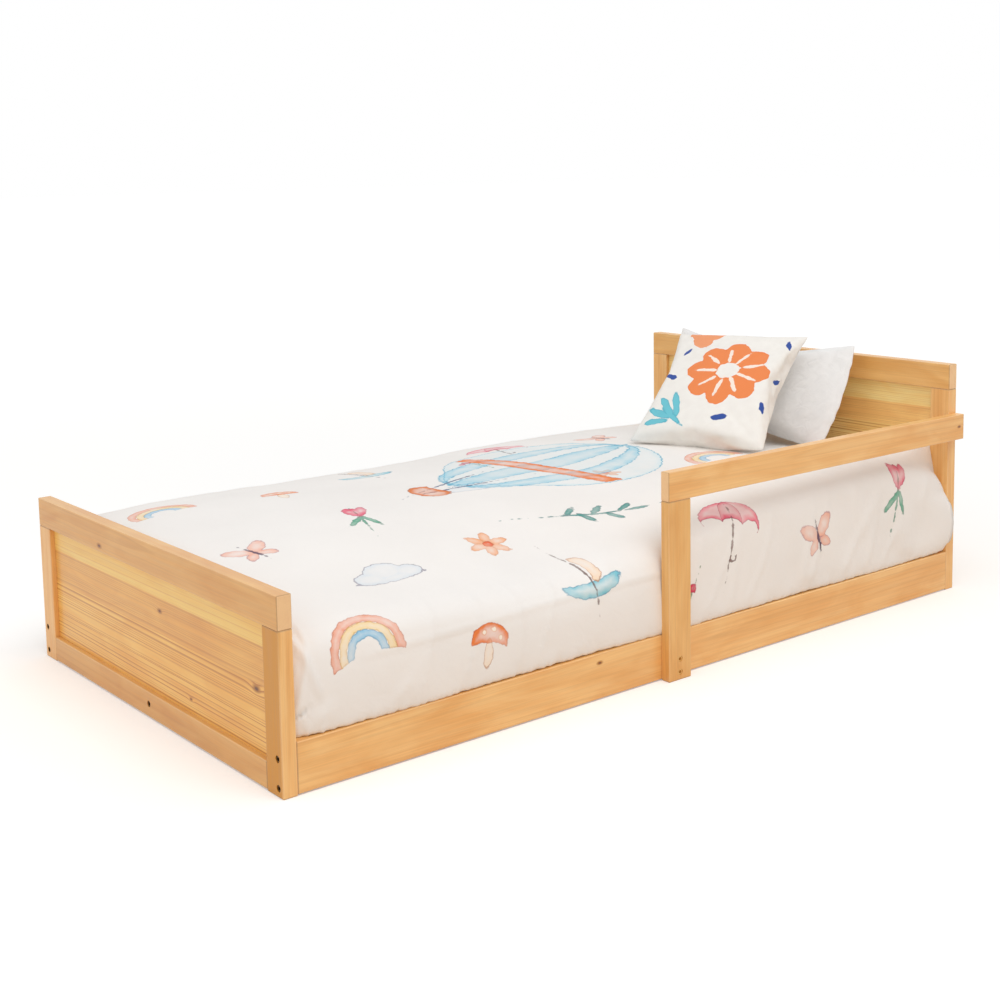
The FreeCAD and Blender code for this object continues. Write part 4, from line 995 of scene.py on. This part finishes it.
BALLOON = [
    painted("#C4E6F0", "#57AECB", 0.55, (0, 62, 150, 140, 90), (0, -52, 74, 52, 90), softness=60, ink=1.0),
    painted(*BALLOON_BLUE, (0, 40, 172, 92, 90), without=((0, 40, 172, 58, 90),), ink=0.9),
    painted(*BALLOON_BLUE, (0, 40, 172, 24, 90), ink=0.9),
    painted("#EE8038", "#C4602B", 1.2, (0, 20, 170, 17, 0), within=((0, 62, 150, 136, 90),)),
    painted("#6F7C9A", "#55607C", 1.2, (-15, -128, 40, 1.3, 100), (15, -128, 40, 1.3, 80)),
    painted("#E07B3A", "#A95524", 1.2, (0, -176, 30, 24, 0), without=((0, -148, 44, 13, 0),))]
# The print repeats over the cloth: the motif, its place in the repeat in millimetres, size and turn.
REPEAT = (960, 640)
PRINT = (("rainbow", 120, 130, 1.0, 6), ("mushroom", 330, 95, 0.9, -12), ("boat", 545, 150, 1.0, 4),
         ("berries", 730, 80, 1.1, 20), ("umbrella", 860, 190, 0.95, -16), ("cloud", 250, 290, 1.0, 3),
         ("daisy", 470, 317, 1.1, 10), ("branch", 700, 330, 1.1, -24), ("butterfly", 110, 450, 1.0, 15),
         ("tulip", 340, 500, 1.0, -18), ("cloud", 600, 540, 0.8, -6), ("daisy", 850, 500, 0.8, 40))
BALLOON_PLACE = (760, 610, 1.35, -78)


def placed_motif(tree, motif, cloth, under, place, blot, wobble):
    """Prints a motif at (u, v, size, turn) on the cloth, over the colour under it."""
    u, v, size, turn = place
    local = add(tree, "Mapping", {0: cloth, 1: (u, v, 0), 2: (0, 0, math.radians(turn)), 3: (size, size, 1)},
                vector_type="TEXTURE")
    return add(tree, "Group", {"Place": local, "Under": under, "Blot": blot, "Wobble": wobble},
               node_tree=motif).outputs[0]


def wave_scale(spacing):
    """The scale of a wave texture whose bands are this far apart, as they are tau / 20 apart at 1."""
    return math.tau / 20 / spacing


def woven(tree, cloth, spacing, strength):
    """A plain weave's relief: warp over weft at a thread spacing in millimetres."""
    warp, weft = (add(tree, "TexWave", {"Vector": cloth, "Scale": wave_scale(spacing)},
                      bands_direction=direction) for direction in "XY")
    thread = add(tree, "Math", {0: warp, 1: weft}, operation="MULTIPLY")
    slub = add(tree, "TexNoise", {"Vector": cloth, "Scale": 0.35 / spacing, "Detail": 2.0})
    mixed = add(tree, "Math", {0: slub, 1: 0.5, 2: thread}, operation="MULTIPLY_ADD")
    return add(tree, "Math", {0: mixed, 1: strength}, operation="MULTIPLY")


def cloth_place(tree):
    """The cloth's own millimetres."""
    on_cloth = add(tree, "UVMap", uv_map="cloth")
    return add(tree, "VectorMath", {0: on_cloth, "Scale": 1 / MM}, operation="SCALE")


# Weaves: a thread's width in millimetres and its relief. Percale is drawn four times as coarse as the real
# cloth, and canvas and ticking twice, so that they show.
PERCALE = (1.3, 0.09)
CANVAS = (1.6, 0.16)
TICKING = (1.6, 0.12)
STRIPE_SPACING = 60
COTTON = {"Roughness": 0.88, "Sheen Weight": 0.08, "Sheen Roughness": 0.5}


def quilt_cotton():
    """Printed cotton percale: a fine matt weave, a little creased, with a watercolour print."""
    made, tree = new_material("printed_cotton_percale")
    cloth = cloth_place(tree)
    brush = brush_group()
    spots = add(tree, "TexNoise", {"Vector": cloth, "Scale": 0.028, "Detail": 3.0})
    blot = add(tree, "MapRange", {0: spots, 1: 0.3, 2: 0.7, 3: 0.55, 4: 1.15}, clamp=True)
    shake = add(tree, "TexNoise", {"Vector": cloth, "Scale": 0.09, "Detail": 3.0})
    wobble = add(tree, "MapRange", {0: shake, 1: 0.0, 2: 1.0, 3: -4.0, 4: 4.0}, clamp=True)

    # Every second column of the repeat is dropped by half its height.
    parts = add(tree, "SeparateXYZ", {0: cloth}).outputs
    column = add(tree, "Math", {0: parts[0], 1: REPEAT[0]}, operation="DIVIDE")
    whole = add(tree, "Math", {0: column}, operation="FLOOR")
    dropped = add(tree, "Math", {0: whole, 1: REPEAT[1] / 2, 2: parts[1]}, operation="MULTIPLY_ADD")
    shifted = add(tree, "CombineXYZ", {0: parts[0], 1: dropped})
    repeated = add(tree, "VectorMath", {0: shifted, 1: (*REPEAT, 1), 2: (0, 0, 0)}, operation="WRAP")

    tint = add(tree, "TexNoise", {"Vector": cloth, "Scale": 0.006, "Detail": 2.0})
    colour = stops(add(tree, "ValToRGB", {0: tint}), ((0.35, "#F3EFEB"), (0.65, "#F6F2EE")))
    motifs = {name: motif_group(f"printed_{name}", brush, parts) for name, parts in MOTIFS.items()}
    for name, *place in PRINT:
        colour = placed_motif(tree, motifs[name], repeated, colour, place, blot, wobble)
    balloon = motif_group("printed_balloon", brush, BALLOON)
    colour = placed_motif(tree, balloon, cloth, colour, BALLOON_PLACE, blot, wobble)

    weave = woven(tree, cloth, *PERCALE)
    creased = add(tree, "TexNoise", {"Vector": cloth, "Scale": 0.05, "Detail": 4.0, "Distortion": 0.8})
    height = add(tree, "Math", {0: creased, 1: 0.9, 2: weave}, operation="MULTIPLY_ADD")
    surfaced(tree, colour, height, MM, 0.8, COTTON)
    return made


# The cushion's flower with its rays, its blocks, its leaf and its dots, in millimetres round the middle.
CUSHION_PRINT = [
    painted("#F08A4E", "#EE7A30", 3.0, *petals(8, 56, 33, 26), softness=10),
    painted("#FBEBDD", "#FBEBDD", 4.0, *petals(9, 45, 18, 3.4, 12)),
    painted("#F3A070", "#F08A4E", 3.0, (108, 96, 34, 22, 35), (128, 66, 26, 18, -20), (136, 108, 30, 20, 80),
            softness=8),
    painted("#6FC7D6", "#4FB0C4", 3.0, (-92, 84, 28, 7.5, 20), (-98, 104, 28, 7.5, 45),
            (-114, 118, 27, 7.5, 70), (-134, 120, 24, 7, 95), (-122, 84, 34, 4, 55), softness=1),
    painted("#2F4F9E", "#2F4F9E", 4.0, (108, -96, 14, 5, 20), (-20, 120, 13, 5, 70),
            (-118, -20, 15, 5.5, 100), (8, -122, 13, 5, 130), (-84, -98, 14, 5, 30), (132, 14, 13, 5, 60),
            (60, 116, 13, 5, -20), softness=0.5)]
CUSHION_PRINT_PLACE = (12, -26, 1.0, 0)


def cushion_canvas():
    """Printed cotton canvas: a coarse matt weave with flat blocks of colour."""
    made, tree = new_material("printed_cotton_canvas")
    cloth = cloth_place(tree)
    shake = add(tree, "TexNoise", {"Vector": cloth, "Scale": 0.05, "Detail": 2.0})
    wobble = add(tree, "MapRange", {0: shake, 1: 0.0, 2: 1.0, 3: -5.0, 4: 5.0}, clamp=True)
    blot = add(tree, "MapRange", {0: shake, 1: 0.0, 2: 1.0, 3: 0.9, 4: 1.1}, clamp=True)
    ground = stops(add(tree, "ValToRGB", {0: shake}), ((0.3, "#F1EDE7"), (0.7, "#F5F2EC")))
    blocks = motif_group("printed_blocks", brush_group(), CUSHION_PRINT)
    colour = placed_motif(tree, blocks, cloth, ground, CUSHION_PRINT_PLACE, blot, wobble)
    surfaced(tree, colour, woven(tree, cloth, *CANVAS), MM, 0.8,
             {"Roughness": 0.9, "Sheen Weight": 0.1, "Sheen Roughness": 0.5})
    return made


def plain_cotton():
    """Plain white pillowcase cotton, washed and softly creased."""
    made, tree = new_material("washed_white_cotton")
    cloth = cloth_place(tree)
    weave = woven(tree, cloth, *PERCALE)
    creased = add(tree, "TexNoise", {"Vector": cloth, "Scale": 0.045, "Detail": 5.0, "Distortion": 1.2})
    # Painted shade and light: the cloth is a little darker in the hollows of its creases and paler on their
    # ridges.
    tint = stops(add(tree, "ValToRGB", {0: creased}), ((0.3, "#EDECEB"), (0.7, "#F4F3F2")))
    height = add(tree, "Math", {0: creased, 1: 1.6, 2: weave}, operation="MULTIPLY_ADD")
    surfaced(tree, tint, height, MM, 0.9, COTTON)
    return made


def ticking():
    """Mattress ticking: firm cream cotton with narrow grey stripes woven in."""
    made, tree = new_material("striped_ticking")
    cloth = cloth_place(tree)
    stripe = add(tree, "TexWave", {"Vector": cloth, "Scale": wave_scale(STRIPE_SPACING)},
                 bands_direction="Y")
    colour = stops(add(tree, "ValToRGB", {0: stripe}), ((0.9, "#F1EEE6"), (0.97, "#A9AEB8")))
    surfaced(tree, colour, woven(tree, cloth, *TICKING), MM, 0.8, {"Roughness": 0.85})
    return made


bpy.context.scene.view_settings.view_transform = "Standard"
camera()
studio()
dress_frame()
quilt(quilt_cotton())
mattress(ticking())
pad("pillow", "white_pillow", "pillow_cotton", plain_cotton())
pad("cushion", "throw_cushion", "cushion_cotton", cushion_canvas())
